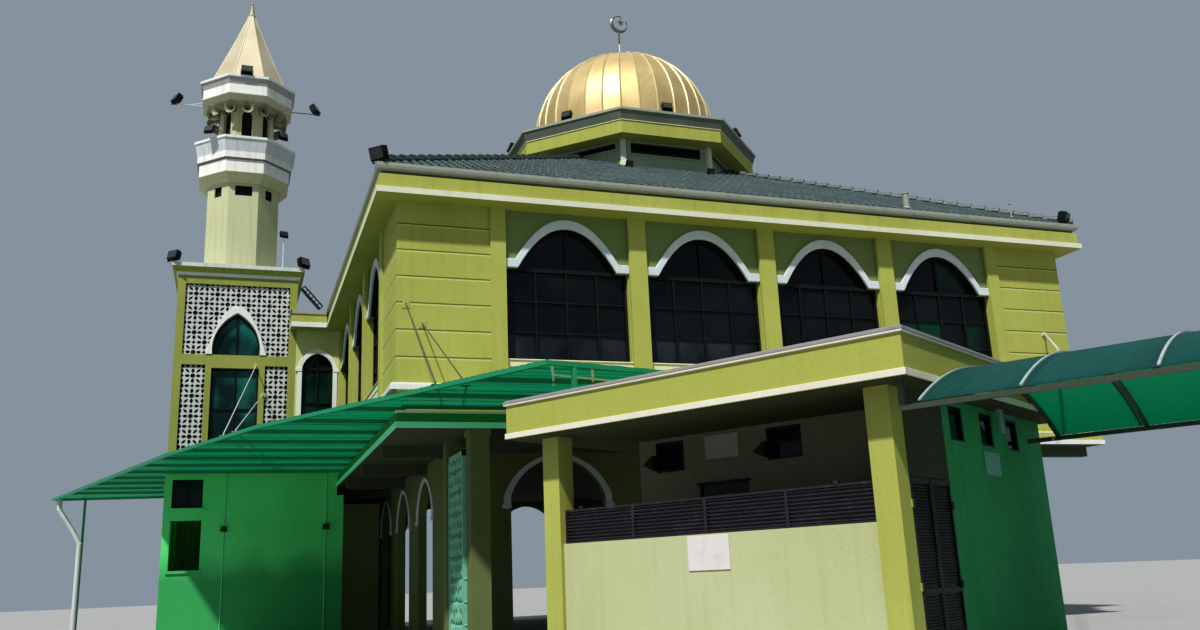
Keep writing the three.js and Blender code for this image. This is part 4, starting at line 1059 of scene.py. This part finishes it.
def minaret_upper():
    trim = Shape(MINARET)
    ledge = [(1.80, 11.04), (1.84, 11.10), (1.84, 11.14), (1.80, 11.16), (1.70, 11.16), (1.70, 11.04)]
    trim.swept(ledge, 4, 0)
    for slot, profile in (
        (1, [(1.115, 11.412), (1.19, 11.412), (1.19, 11.56), (1.13, 11.62), (1.10, 11.62)]),
        (0, [(1.573, 15.835), (1.60, 15.845), (1.60, 15.925), (1.44, 15.93), (1.44, 15.90)]),
        (1, [(0.858, 15.36), (0.92, 15.362), (0.92, 15.50), (0.86, 15.53)]),
        (0, [(1.50, 18.06), (1.53, 18.065), (1.53, 18.145), (1.24, 18.15)]),
        (0, [(1.42, 17.49), (1.445, 17.495), (1.445, 17.545), (1.42, 17.55)]),
    ):
        trim.swept(profile, 8, slot, closed=False)
    make("minaret_mouldings", trim, [WHITE, CREAM])
    ports = Shape()
    low, high = 14.03, 14.37
    for side, turn in enumerate(EIGHTHS):
        half = 0.265 if side % 2 == 0 else 0.15
        ports.place = MINARET @ turn @ at(0, SHAFT_FACE)
        ports.border(-half, half, low, high, 0.025, 0.03, 0.08)
        # a dark plate in each port: painted shade
        ports.box((-half, 0.08, low), (half, 0.09, high), 1)
        ports.place = MINARET @ turn @ at(0, TURRET_FACE)
        curve, outer = pointed_curve(0.16, 0.30, 16.90), pointed_curve(0.21, 0.37, 16.90)
        ports.band(legged(0.16, 15.62, curve), legged(0.21, 15.62, outer), -0.02, 0.01, 2)
        # a dark plate in each turret window: painted shade
        ports.plate([(-0.16, 15.6), (0.16, 15.6)] + curve, 0.09, 0.10, 1)
    make("minaret_ports", ports, [FRAME_DARK, SHADE_PLATE, CREAM])
    spire = Shape(MINARET)
    profile = [(1.24, 18.13), (1.24, 18.19), (1.19, 18.25), (0.60, 19.75), (0.16, 20.95), (0.10, 21.18)]
    for side in range(8):
        rows = []
        for apothem, height in profile:
            radius = apothem / math.cos(math.pi / 8)
            rows.append([around(radius, (side - 0.5) / 8, height), around(radius, (side + 0.5) / 8, height)])
        spire.sheet(rows)
        spire.bars([row[0] for row in rows], 0.016, 6)
    tip = [(0.10, 21.15), (0.125, 21.16), (0.125, 21.20), (0.10, 21.23), (0.03, 21.62)]
    spire.swept(tip, 12, 1, closed=False)
    spire.rod((0, 0, 21.5), (0, 0, 21.90), 0.02, 8, slot=1)
    spire.ball((0, 0, 21.68), 0.04, 1)
    moon(spire, 0.15, (0, 0, 22.015), 0.018, 90)
    looks = [SPIRE_GOLD, SPIRE_TIP]
    make("minaret_gold_spire", spire, looks, replaces=["minaret_spire"], turn_out=False)


def horns():
    shape = Shape()
    bell = [
        (0.0, 0.03), (0.02, 0.075), (0.16, 0.075), (0.17, 0.045), (0.22, 0.055), (0.30, 0.085), (0.38, 0.14),
        (0.44, 0.21), (0.455, 0.22), (0.45, 0.20), (0.40, 0.145), (0.32, 0.09), (0.26, 0.06), (0.25, 0.001),
    ]
    count = 14
    droop = rotation(6, "Y") @ Matrix.Scale(0.88, 4)
    for side in range(count):
        turn = MINARET @ rotation(360 * (side + 0.5) / count)
        shape.place = turn @ at(0.90, 0, 17.14) @ droop
        shape.turned(bell, 18)
        shape.ball((0.27, 0, 0), 0.04, 1, 8)
        shape.place = turn
        shape.box((0.84, -0.03, 17.08), (0.93, 0.03, 17.338), 1)
    make("horn_loudspeakers", shape, [HORN_SHADED, LAMP_BLACK], smooth=True)


def floodlight(shape, place, heading, tilt, width):
    half = 0.18
    shape.place = at(*place) @ rotation(heading) @ rotation(tilt, "X") @ Matrix.Scale(width / (2 * half), 4)
    shape.box((-half, -0.09, -0.14), (half, 0.08, 0.14))
    shape.box((0.025 - half, -0.10, -0.115), (half - 0.025, -0.085, 0.115), 1)
    for index in range(6):
        x = 0.04 - half + index * (half - 0.04) / 2.5
        shape.box((x - 0.007, 0.08, -0.12), (x + 0.007, 0.125, 0.12))
    shape.pair((half + 0.006, -0.02, -0.18), (half + 0.022, 0.02, 0.02))
    shape.box((-half - 0.022, -0.02, -0.19), (half + 0.022, 0.02, -0.175))
    shape.place = Matrix.Identity(4)


def lamps():
    shape = Shape()
    for *place, heading, tilt, width in (
        (-14.17, 5.02, 17.73, -60, -25, 0.36), (-9.66, 5.02, 17.86, 60, -25, 0.36),
        (-11.97, 3.52, 18.32, 0, -20, 0.36), (-13.04, 3.60, 16.10, -25, -20, 0.28),
        (-10.75, 3.60, 16.10, 25, -20, 0.28), (-13.82, 3.10, 11.60, -40, -15, 0.36),
        (-9.99, 3.10, 11.60, 40, -15, 0.36), (-2.85, -2.62, 14.92, -45, -20, 0.3),
        (-0.14, -3.88, 14.92, 0, -20, 0.3), (-3.88, 0.09, 14.92, -90, -20, 0.3),
        (2.75, -2.72, 14.92, 45, -20, 0.3), (-1.51, -4.1, roof_height(4.1) + 0.16, 0, 30, 0.2),
        (1.07, -4.05, roof_height(4.05) + 0.16, 0, 30, 0.2), (-9.20, -9.17, 10.30, -45, 20, 0.36),
        (8.90, -9.15, 10.30, 30, 20, 0.36), (-10.6, 3.82, 12.75, 20, -20, 0.24),
        (-8.95, 0.2, 7.62, -90, -15, 0.24), *((x, -0.16, 3.14, 0, -10, 0.16) for x in CONDUITS),
    ):
        floodlight(shape, place, heading, tilt, width)
    for start, end, radius, slot in (
        ((-14.17, 5.02, 17.55), (-13.30, 5.02, 17.55), 0.016, 2),
        ((-13.75, 5.02, 17.55), (-13.30, 5.02, 17.70), 0.012, 2),
        ((-9.66, 5.02, 17.68), (-10.50, 5.02, 17.66), 0.014, 0),
        ((-10.6, 3.82, 11.4), (-10.6, 3.82, 12.60), 0.018, 2),
        ((-8.86, 0.2, 5.0), (-8.86, 0.2, 7.5), 0.02, 0),
    ):
        shape.rod(start, end, radius, 6, slot=slot)
    make("floodlights", shape, [LAMP_BLACK, LAMP_LENS, PALE_STEEL])


def fine_pipes():
    shape = Shape()
    for x in CONDUITS:
        shape.rod((x, -0.02, 0.4), (x, -0.02, 4.58), 0.013, slot=1)
        for z in (1.2, 2.2, 3.5, 4.2):
            shape.box((x - 0.03, -0.036, z - 0.01), (x + 0.03, -0.002, z + 0.01), 1)
    bends = ((-17.05, 4.64), (-17.05, 4.30), (-16.60, 3.60), (-16.39, 3.20), (-16.39, 0.02))
    downpipe = [(x, 7.86, z) for x, z in bends]
    shape.bars(downpipe, 0.075, 12)
    for point in downpipe[1:4]:
        shape.ball(point, 0.08)
    make("pipes_and_conduits", shape, [DIM_WHITE, CONDUIT], smooth=True)
    truss = Shape()
    start, end = Vector((-10.06, 2.96, 10.68)), Vector((-9.50, 2.96, 10.05))
    chords = [Vector((0, 0, 0)), Vector((0.12, 0, 0.11)), Vector((0.06, 0.12, 0.05))]
    for chord in chords:
        truss.rod(start + chord, end + chord, 0.024, 6)
    for index in range(7):
        middle = start.lerp(end, index / 6)
        for chord in chords[1:]:
            truss.rod(middle, middle + chord, 0.016, 5)
    make("ladder_truss", truss, [LAMP_BLACK])


# Link and side room

def link_trims():
    glass, trim = Shape(at(LINK_X, LINK_FACE)), Shape(at(LINK_X, LINK_FACE))
    half, sill, spring = 0.47, 6.07, 8.20
    curve = pointed_curve(half, 0.49, spring)
    glass.plate([(-half, sill), (half, sill)] + curve, 0.14, 0.155, 1)
    glass.band(pointed_curve(0.42, 0.44, spring), curve, 0.09, 0.14)
    glass.boxes([
        (-half, -0.42, sill, spring), (0.42, half, sill, spring), (-0.02, 0.02, sill, 8.66),
        (-half, half, sill, 6.12), (-half, half, 7.1, 7.14), (-half, half, 8.17, 8.23),
    ], 0.09, 0.15)
    make("link_window", glass, [FRAME_DARK, GLASS_GREEN], replaces=["link_window_glass"])
    trim.band(curve, pointed_curve(0.60, 0.64, spring), -0.04, 0.01)
    trim.pair((half, -0.035, sill), (0.60, 0.01, 8.10))
    trim.pair((half, -0.05, 8.10), (0.67, 0.01, 8.21))
    trim.box((-0.62, -0.05, 5.98), (0.62, 0.01, sill))
    trim.place = Matrix.Identity(4)
    for low, high, right, left, slot in (
        ((-10.335, 2.785, 9.43), 9.585, 2.80, -10.32, 0), ((-10.35, 2.77, 9.84), 9.955, 2.81, -10.31, 1),
    ):
        trim.box(low, (-9.262, right, high), slot)
        trim.box(low, (left, LINK_FACE, high), slot)
    make("link_trims", trim, [WHITE, GUTTER], bevel=0.004)


def side_room_fittings():
    shape = Shape()
    left, right, sill, head = -13.31, -12.55, 3.70, 4.45
    shape.box((left, 0.11, sill), (right, 0.125, head), 1)
    shape.border(left, right, sill, head, 0.05, 0.07, 0.12)
    shape.box((-12.95, 0.07, sill), (-12.91, 0.12, head))
    shape.box((-13.38, -0.06, sill - 0.08), (-12.48, 0.02, sill), 2)
    shape.box((-13.36, -0.04, 2.03), (-12.50, 0.02, 2.10), 2)
    for index in range(5):
        x = -13.24 + index * 0.155
        shape.rod((x, 0.1, 2.10), (x, 0.1, 3.38), 0.01, 6)
    make("side_room_window", shape, [FRAME_DARK, GLASS_GREEN, SHADE_GREEN])


# Awning

def edge_at(points, y):
    for (x0, y0), (x1, y1) in zip(points, points[1:]):
        if min(y0, y1) <= y <= max(y0, y1) and y0 != y1:
            return x0 + (x1 - x0) * (y - y0) / (y1 - y0)
    return None


def awning():
    outer = [(-7.43, -15.05), (-11.42, -8.25), (-13.36, -3.57), (-17.34, 8.20)]
    spans = [
        (-15.05, -14.0, [(-7.43, -15.05), (-3.25, -14.0)]), (-14.0, -10.8, [(-3.25, -14.0), (-3.25, -10.8)]),
        (-10.8, 3.2, [(-8.87, -10.8), (-8.87, 3.2)]), (3.2, 7.6, [(-13.70, 3.2), (-13.70, 7.6)]),
        (7.6, 8.2, [(-13.70, 7.6), (-17.34, 8.20)]),
    ]
    shape, seams = Shape(), Shape()
    for low, high, inner in spans:
        count = max(2, round((high - low) / (AWNING_RIB / 4)))
        rows = []
        for index in range(count + 1):
            y = low + (high - low) * index / count
            left = edge_at(outer, y)
            right = max(edge_at(inner, y), left + 0.001)
            height = AWNING_BOTTOM + 0.006 + 0.004 * math.sin(2 * math.pi * y / AWNING_RIB)
            rows.append(((left, y, height), (right, y, height)))
        for near, far in zip(rows, rows[1:]):
            shape.quad(near[0], near[1], far[1], far[0])
        for y in (index - 14.4 for index in range(22)):
            if low < y < high:
                x0, x1 = edge_at(outer, y) + 0.02, edge_at(inner, y) - 0.02
                seams.box((x0, y - 0.015, AWNING_BOTTOM - 0.004), (x1, y + 0.015, AWNING_BOTTOM + 0.001))
    make(
        "awning_ribbed_sheet", shape, [AWNING], replaces=["awning_sheet"], smooth=True,
        turn_out=False,
    )
    make("awning_sheet_laps", seams, [AWNING_LAP])
    rail = Shape()
    height = AWNING_BOTTOM - 0.03
    edge = [(-7.43, -15.02), (-11.39, -8.25), (-13.33, -3.57), (-17.31, 8.17)]
    rail.bars([(x, y, height) for x, y in edge], 0.014)
    for x0, y0, x1, y1 in (
        (-7.43, -15.02, -3.28, -13.99), (-7.05, -14.12, -4.20, -13.16), (-7.33, -15.0, -6.76, -13.2),
        (-6.62, -14.79, -5.85, -12.63), (-5.60, -14.53, -4.83, -12.4),
    ):
        rail.rod((x0, y0, height), (x1, y1, height), 0.02, slot=1)
    make("awning_edge_rail", rail, [PALE_STEEL, TUBE_WHITE], smooth=True)


# Annex

def annex_trims():
    shape = Shape(ANNEX)
    left, right, front, back = -0.32, 5.69, -0.40, 5.35
    for grow, low, high, slot in (
        (0.02, 3.452, 3.53, 0), (0.03, 3.925, 3.95, 0), (0.035, 3.95, 3.985, 1), (0.015, 3.985, 4.0, 1),
    ):
        shape.box((left - grow, front - grow, low), (right + grow, front + 0.03, high), slot)
        shape.box((left - grow, back - 0.03, low), (right + grow, back + grow, high), slot)
        shape.box((left - grow, front, low), (left + 0.03, back, high), slot)
        shape.box((right - 0.03, front, low), (right + grow, back, high), slot)
    make("annex_roof_trims", shape, [STRIP, SILVER], bevel=0.004)
    boards = Shape(ANNEX)
    boards.box((2.40, 0.045, 1.52), (3.02, 0.06, 1.94))
    # the second and third looks are the board with painted shade
    boards.box((1.75, 1.535, 3.06), (2.32, 1.55, 3.40), 1)
    boards.box((5.30, 2.70, 2.57), (5.315, 3.25, 2.88), 2)
    boards.box((5.42, 3.0, 3.12), (5.47, 3.16, 3.44), 2)
    make("bare_boards", boards, [BOARD, BOARD_SHADED, BOARD_GREEN_SHADE], bevel=0.004)


def slat(shape, start, end, depth, thick, lean):
    """a louvre blade along the local x or y axis, leaned outwards"""
    start, end = Vector(start), Vector(end)
    along = (end - start).normalized()
    fall = Vector((along.y * depth, -along.x * depth, -lean)) / 2
    up = Vector((0, 0, thick / 2))
    points = [base + way for base in (start, end) for way in (-fall - up, fall - up, fall + up, up - fall)]
    shape.add(points, BLOCK_FACES)


def annex_louvres():
    shape = Shape(ANNEX)
    low, high = 1.962, 2.42
    edges = [0.303, 1.50, 2.66, 3.83, 4.997]
    count = 9
    for x0, x1 in zip(edges, edges[1:]):
        shape.boxes([(x0, x0 + 0.02, low, high), (x1 - 0.02, x1, low, high)], 0.106, 0.148)
        shape.boxes([(x0, x1, low, low + 0.025), (x0, x1, high - 0.03, high)], 0.110, 0.145)
        # a dark plate behind the blades: painted shade
        shape.box((x0 + 0.01, 0.142, low + 0.01), (x1 - 0.01, 0.147, high - 0.01))
        for index in range(count):
            z = low + 0.05 + index * (high - low - 0.09) / (count - 1)
            slat(shape, (x0 + 0.02, 0.126, z), (x1 - 0.02, 0.126, z), 0.028, 0.005, 0.024)
    shape.boxes([(x - 0.03, x + 0.03, high, high + 0.04) for x in (0.6, 4.5)], 0.10, 0.14)
    make("annex_louvre_slats", shape, [BLACK], replaces=["annex_louvre_band"])


def door_leaf(name, node, body, low_y, high_y, hinge_y, side):
    """a leaf of the double door; side is the way from its hinge to its middle"""
    outer, inner = 5.304, 5.264
    bottom, top, stile, pin = 0.008, 2.442, 0.035, 5.313
    shape = Shape(ANNEX)
    for y0, y1 in ((low_y, low_y + stile), (high_y - stile, high_y)):
        shape.box((inner, y0, bottom), (outer, y1, top))
    for z0, z1 in ((bottom, bottom + 0.12), (1.16, 1.22), (top - 0.07, top)):
        shape.box((inner + 0.002, low_y + stile, z0), (outer - 0.002, high_y - stile, z1))
    count = 64
    for index in range(count):
        z = bottom + 0.14 + index * (top - bottom - 0.23) / (count - 1)
        if 1.14 < z < 1.24:
            continue
        for x in (outer - 0.014, inner + 0.011):
            slat(shape, (x, low_y + stile, z), (x, high_y - stile, z), 0.014, 0.004, 0.014)
    # a dark plate between the blade rows: painted shade
    shape.box((inner + 0.0185, low_y + stile, bottom + 0.1), (inner + 0.0188, high_y - stile, top - 0.05))
    for z in (0.30, 1.20, 2.10):
        shape.rod((pin, hinge_y, z), (pin, hinge_y, z + 0.09), 0.009, 12)
        ends = sorted((hinge_y, hinge_y + side * 0.045))
        shape.box((pin - 0.01, ends[0], z), (pin, ends[1], z + 0.09))
    make(name, shape, [DOOR_BLACK], body=body, replaces=[node])


def hopper_windows():
    shape = Shape(ANNEX)
    for x0, x1 in ((0.86, 1.37), (2.77, 3.31)):
        shape.box((x0, 1.60, 2.95), (x1, 1.612, 3.39), 1)
        shape.border(x0, x1, 2.95, 3.39, 0.035, 1.56, 1.61)
        shape.plate([(x0 - 0.14, 3.07), (x0 + 0.04, 2.98), (x0 + 0.06, 3.16), (x0 + 0.03, 3.2)], 1.40, 1.60)
    shape.box((1.61, 1.60, 2.50), (2.44, 1.61, 2.71), 1)
    shape.box((1.58, 1.53, 2.71), (2.47, 1.56, 2.74))
    shape.place = ANNEX @ rotation(90)
    for left, right in ((1.675, 2.125), (2.705, 3.155), (3.685, 4.135)):
        shape.box((left, -5.25, 2.95), (right, -5.24, 3.38), 1)
        shape.border(left, right, 2.95, 3.38, 0.03, -5.285, -5.245)
    make("annex_small_windows", shape, [FRAME_DARK, GLASS])


def canopy_curve(offset):
    steps = 32
    front, back, low, rise = -0.20, 4.60, 3.17, 0.63
    half = (back - front) / 2
    radius = (half ** 2 + rise ** 2) / (2 * rise)
    spread = math.asin(half / radius)
    points = []
    for step in range(steps + 1):
        angle = -spread + 2 * spread * step / steps
        y = front + half + (radius + offset) * math.sin(angle)
        z = low + rise - radius + (radius + offset) * math.cos(angle)
        points.append((y, z))
    return points


def canopy():
    left, right = 5.70, 12.65
    count = round((right - left) / (CANOPY_RIB / 4))
    spots = []
    for index in range(count + 1):
        x = left + (right - left) * index / count
        spots.append((x, 0.0015 * math.sin(2 * math.pi * (x - left) / CANOPY_RIB)))
    shape = Shape(ANNEX)
    for offset, slot in ((0.001, 1), (0.010, 0)):
        shape.sheet([[(x, y, z + lift) for x, lift in spots] for y, z in canopy_curve(offset)], slot)
    make(
        "canopy_ribbed_sheet", shape, [CANOPY_OUT, CANOPY_IN], replaces=["canopy_sheet"],
        smooth=True, turn_out=False,
    )
    ribs = Shape(ANNEX)
    low, high = canopy_curve(0.014), canopy_curve(0.032)
    for x in (5.72, 6.79, 8.05, 9.2, 10.35, 11.5, 12.58):
        for i in range(len(low) - 1):
            section = [curve[k] for curve in (low, high) for k in (i, i + 1)]
            ribs.add([(side, y, z) for side in (x, x + 0.03) for y, z in section], BOX_FACES)
    make("canopy_clamp_strips", ribs, [CLAMP])
    rod = Shape()
    rod.rod(ANNEX @ Vector((6.805, 1.26, 3.76)), (7.95, -8.84, 7.14), 0.018)
    rod.box((7.91, -8.83, 7.10), (7.99, -8.76, 7.18))
    make("canopy_stay_rod", rod, [ROD_STEEL])


def carried_over():
    """materials for the solids that stay in view"""
    looks = {
        "ground_floor_slab": CONCRETE, "first_floor_slab": SLAB_PAINT, "lantern_drum": DRUM_PAINT,
        "minaret_base": MINARET_LIME, "minaret_cornice": CORNICE_PAINT, "minaret_shaft": CREAM,
        "minaret_turret": CREAM, "minaret_balcony": BALCONY_PAINT, "minaret_top_cornice": TOP_CORNICE_PAINT,
        "link_back_wall": LIME, "link_front_wall": PALE_LIME, "link_roof": LIME_TRIM,
        "annex_room_walls": LIME, "annex_left_column": LIME, "annex_right_column": LIME,
        "annex_low_wall": LOW_WALL, "annex_inner_wall": INNER_WALL_SHADED, "annex_side_wall": SIDE_GREEN,
        "annex_wall_over_door": DOOR_WALL, "annex_roof": ANNEX_ROOF, "awning_frame": AWNING_STEEL,
        "canopy_frame": CANOPY_STEEL, "awning_stay_1": STAY_DARK, "awning_stay_2": STAY_DARK,
    }
    starts = {
        "ground_": GROUND_LIME_SHADED, "verandah_": GROUND_LIME_SHADED, "hall_": HALL_LIME, "side_room_": SHADE_GREEN,
        "awning_stay_": STAY_STEEL,
    }
    for name, node in nodes.items():
        by_start = [look for start, look in starts.items() if name.startswith(start)]
        look = looks.get(name) or (by_start + [WHITE])[0]
        node.data.materials.clear()
        node.data.materials.append(look.material)


# Stage, light and camera

def stage():
    floor = Shape()
    reach = 160
    floor.quad((-reach, -reach, 0), (reach, -reach, 0), (reach, reach, 0), (-reach, reach, 0))
    look = Look("pale_floor", 0.9, specular=0.2)
    look.colour(look.mix(look.spread(look.noise(0.4, 3.0), 0.4, 0.6), (157, 157, 156), (154, 154, 153)))
    make("floor", floor, [look], stage=True, turn_out=False)
    sun = bpy.data.lights.new("sun", "SUN")
    sun.energy = 4.0
    sun.angle = math.radians(2.5)
    sun.color = (1.0, 0.975, 0.94)
    lamp = bpy.data.objects.new("sun", sun)
    bearing, height = math.radians(41), math.radians(54)
    toward = Vector((-math.sin(bearing), -math.cos(bearing), math.tan(height)))
    lamp.rotation_mode = "QUATERNION"
    lamp.rotation_quaternion = toward.to_track_quat("Z", "Y")
    scene = bpy.context.scene
    scene.collection.objects.link(lamp)
    world = bpy.data.worlds.new("soft_light")
    world.use_nodes = True
    back = world.node_tree.nodes["Background"]
    back.inputs["Color"].default_value = (0.76, 0.91, 1.06, 1.0)
    back.inputs["Strength"].default_value = 0.3
    scene.world = world
    scene.view_settings.view_transform = "Standard"
    scene.view_settings.look = "Medium High Contrast"


def camera():
    """the photograph's camera, solved from its level and upright edges"""
    place, lens, roll = (-11.75, -29.5, 1.5), 30.79, math.radians(-2.460)
    forward = Vector((0.3283, 0.9117, 0.2469)).normalized()
    right = Vector((0.9409, -0.3388, 0.0)).normalized()
    up = right.cross(forward).normalized()
    across = right * math.cos(roll) + up * math.sin(roll)
    above = up * math.cos(roll) - right * math.sin(roll)
    data = bpy.data.cameras.new("camera")
    data.lens = lens
    data.sensor_width = 36
    data.clip_end = 500
    view = bpy.data.objects.new("camera", data)
    view.matrix_world = at(*place) @ Matrix((across, above, -forward)).transposed().to_4x4()
    bpy.context.scene.collection.objects.link(view)
    bpy.context.scene.camera = view


carried_over()
hall_windows()
hall_trims()
ground_trims()
slab_edge()
hall_eave()
tiled_roof()
lantern()
gored_dome()
dome_finial()
minaret_screens()
minaret_upper()
horns()
lamps()
fine_pipes()
link_trims()
side_room_fittings()
awning()
annex_trims()
annex_louvres()
door_leaf("annex_front_leaf_slats", "annex_door_front_leaf", "front_leaf", 0.308, 0.869, 0.304, 1)
door_leaf("annex_rear_leaf_slats", "annex_door_rear_leaf", "rear_leaf", 0.881, 1.442, 1.446, -1)
hopper_windows()
canopy()
stage()
camera()

bpy.context.view_layer.update()
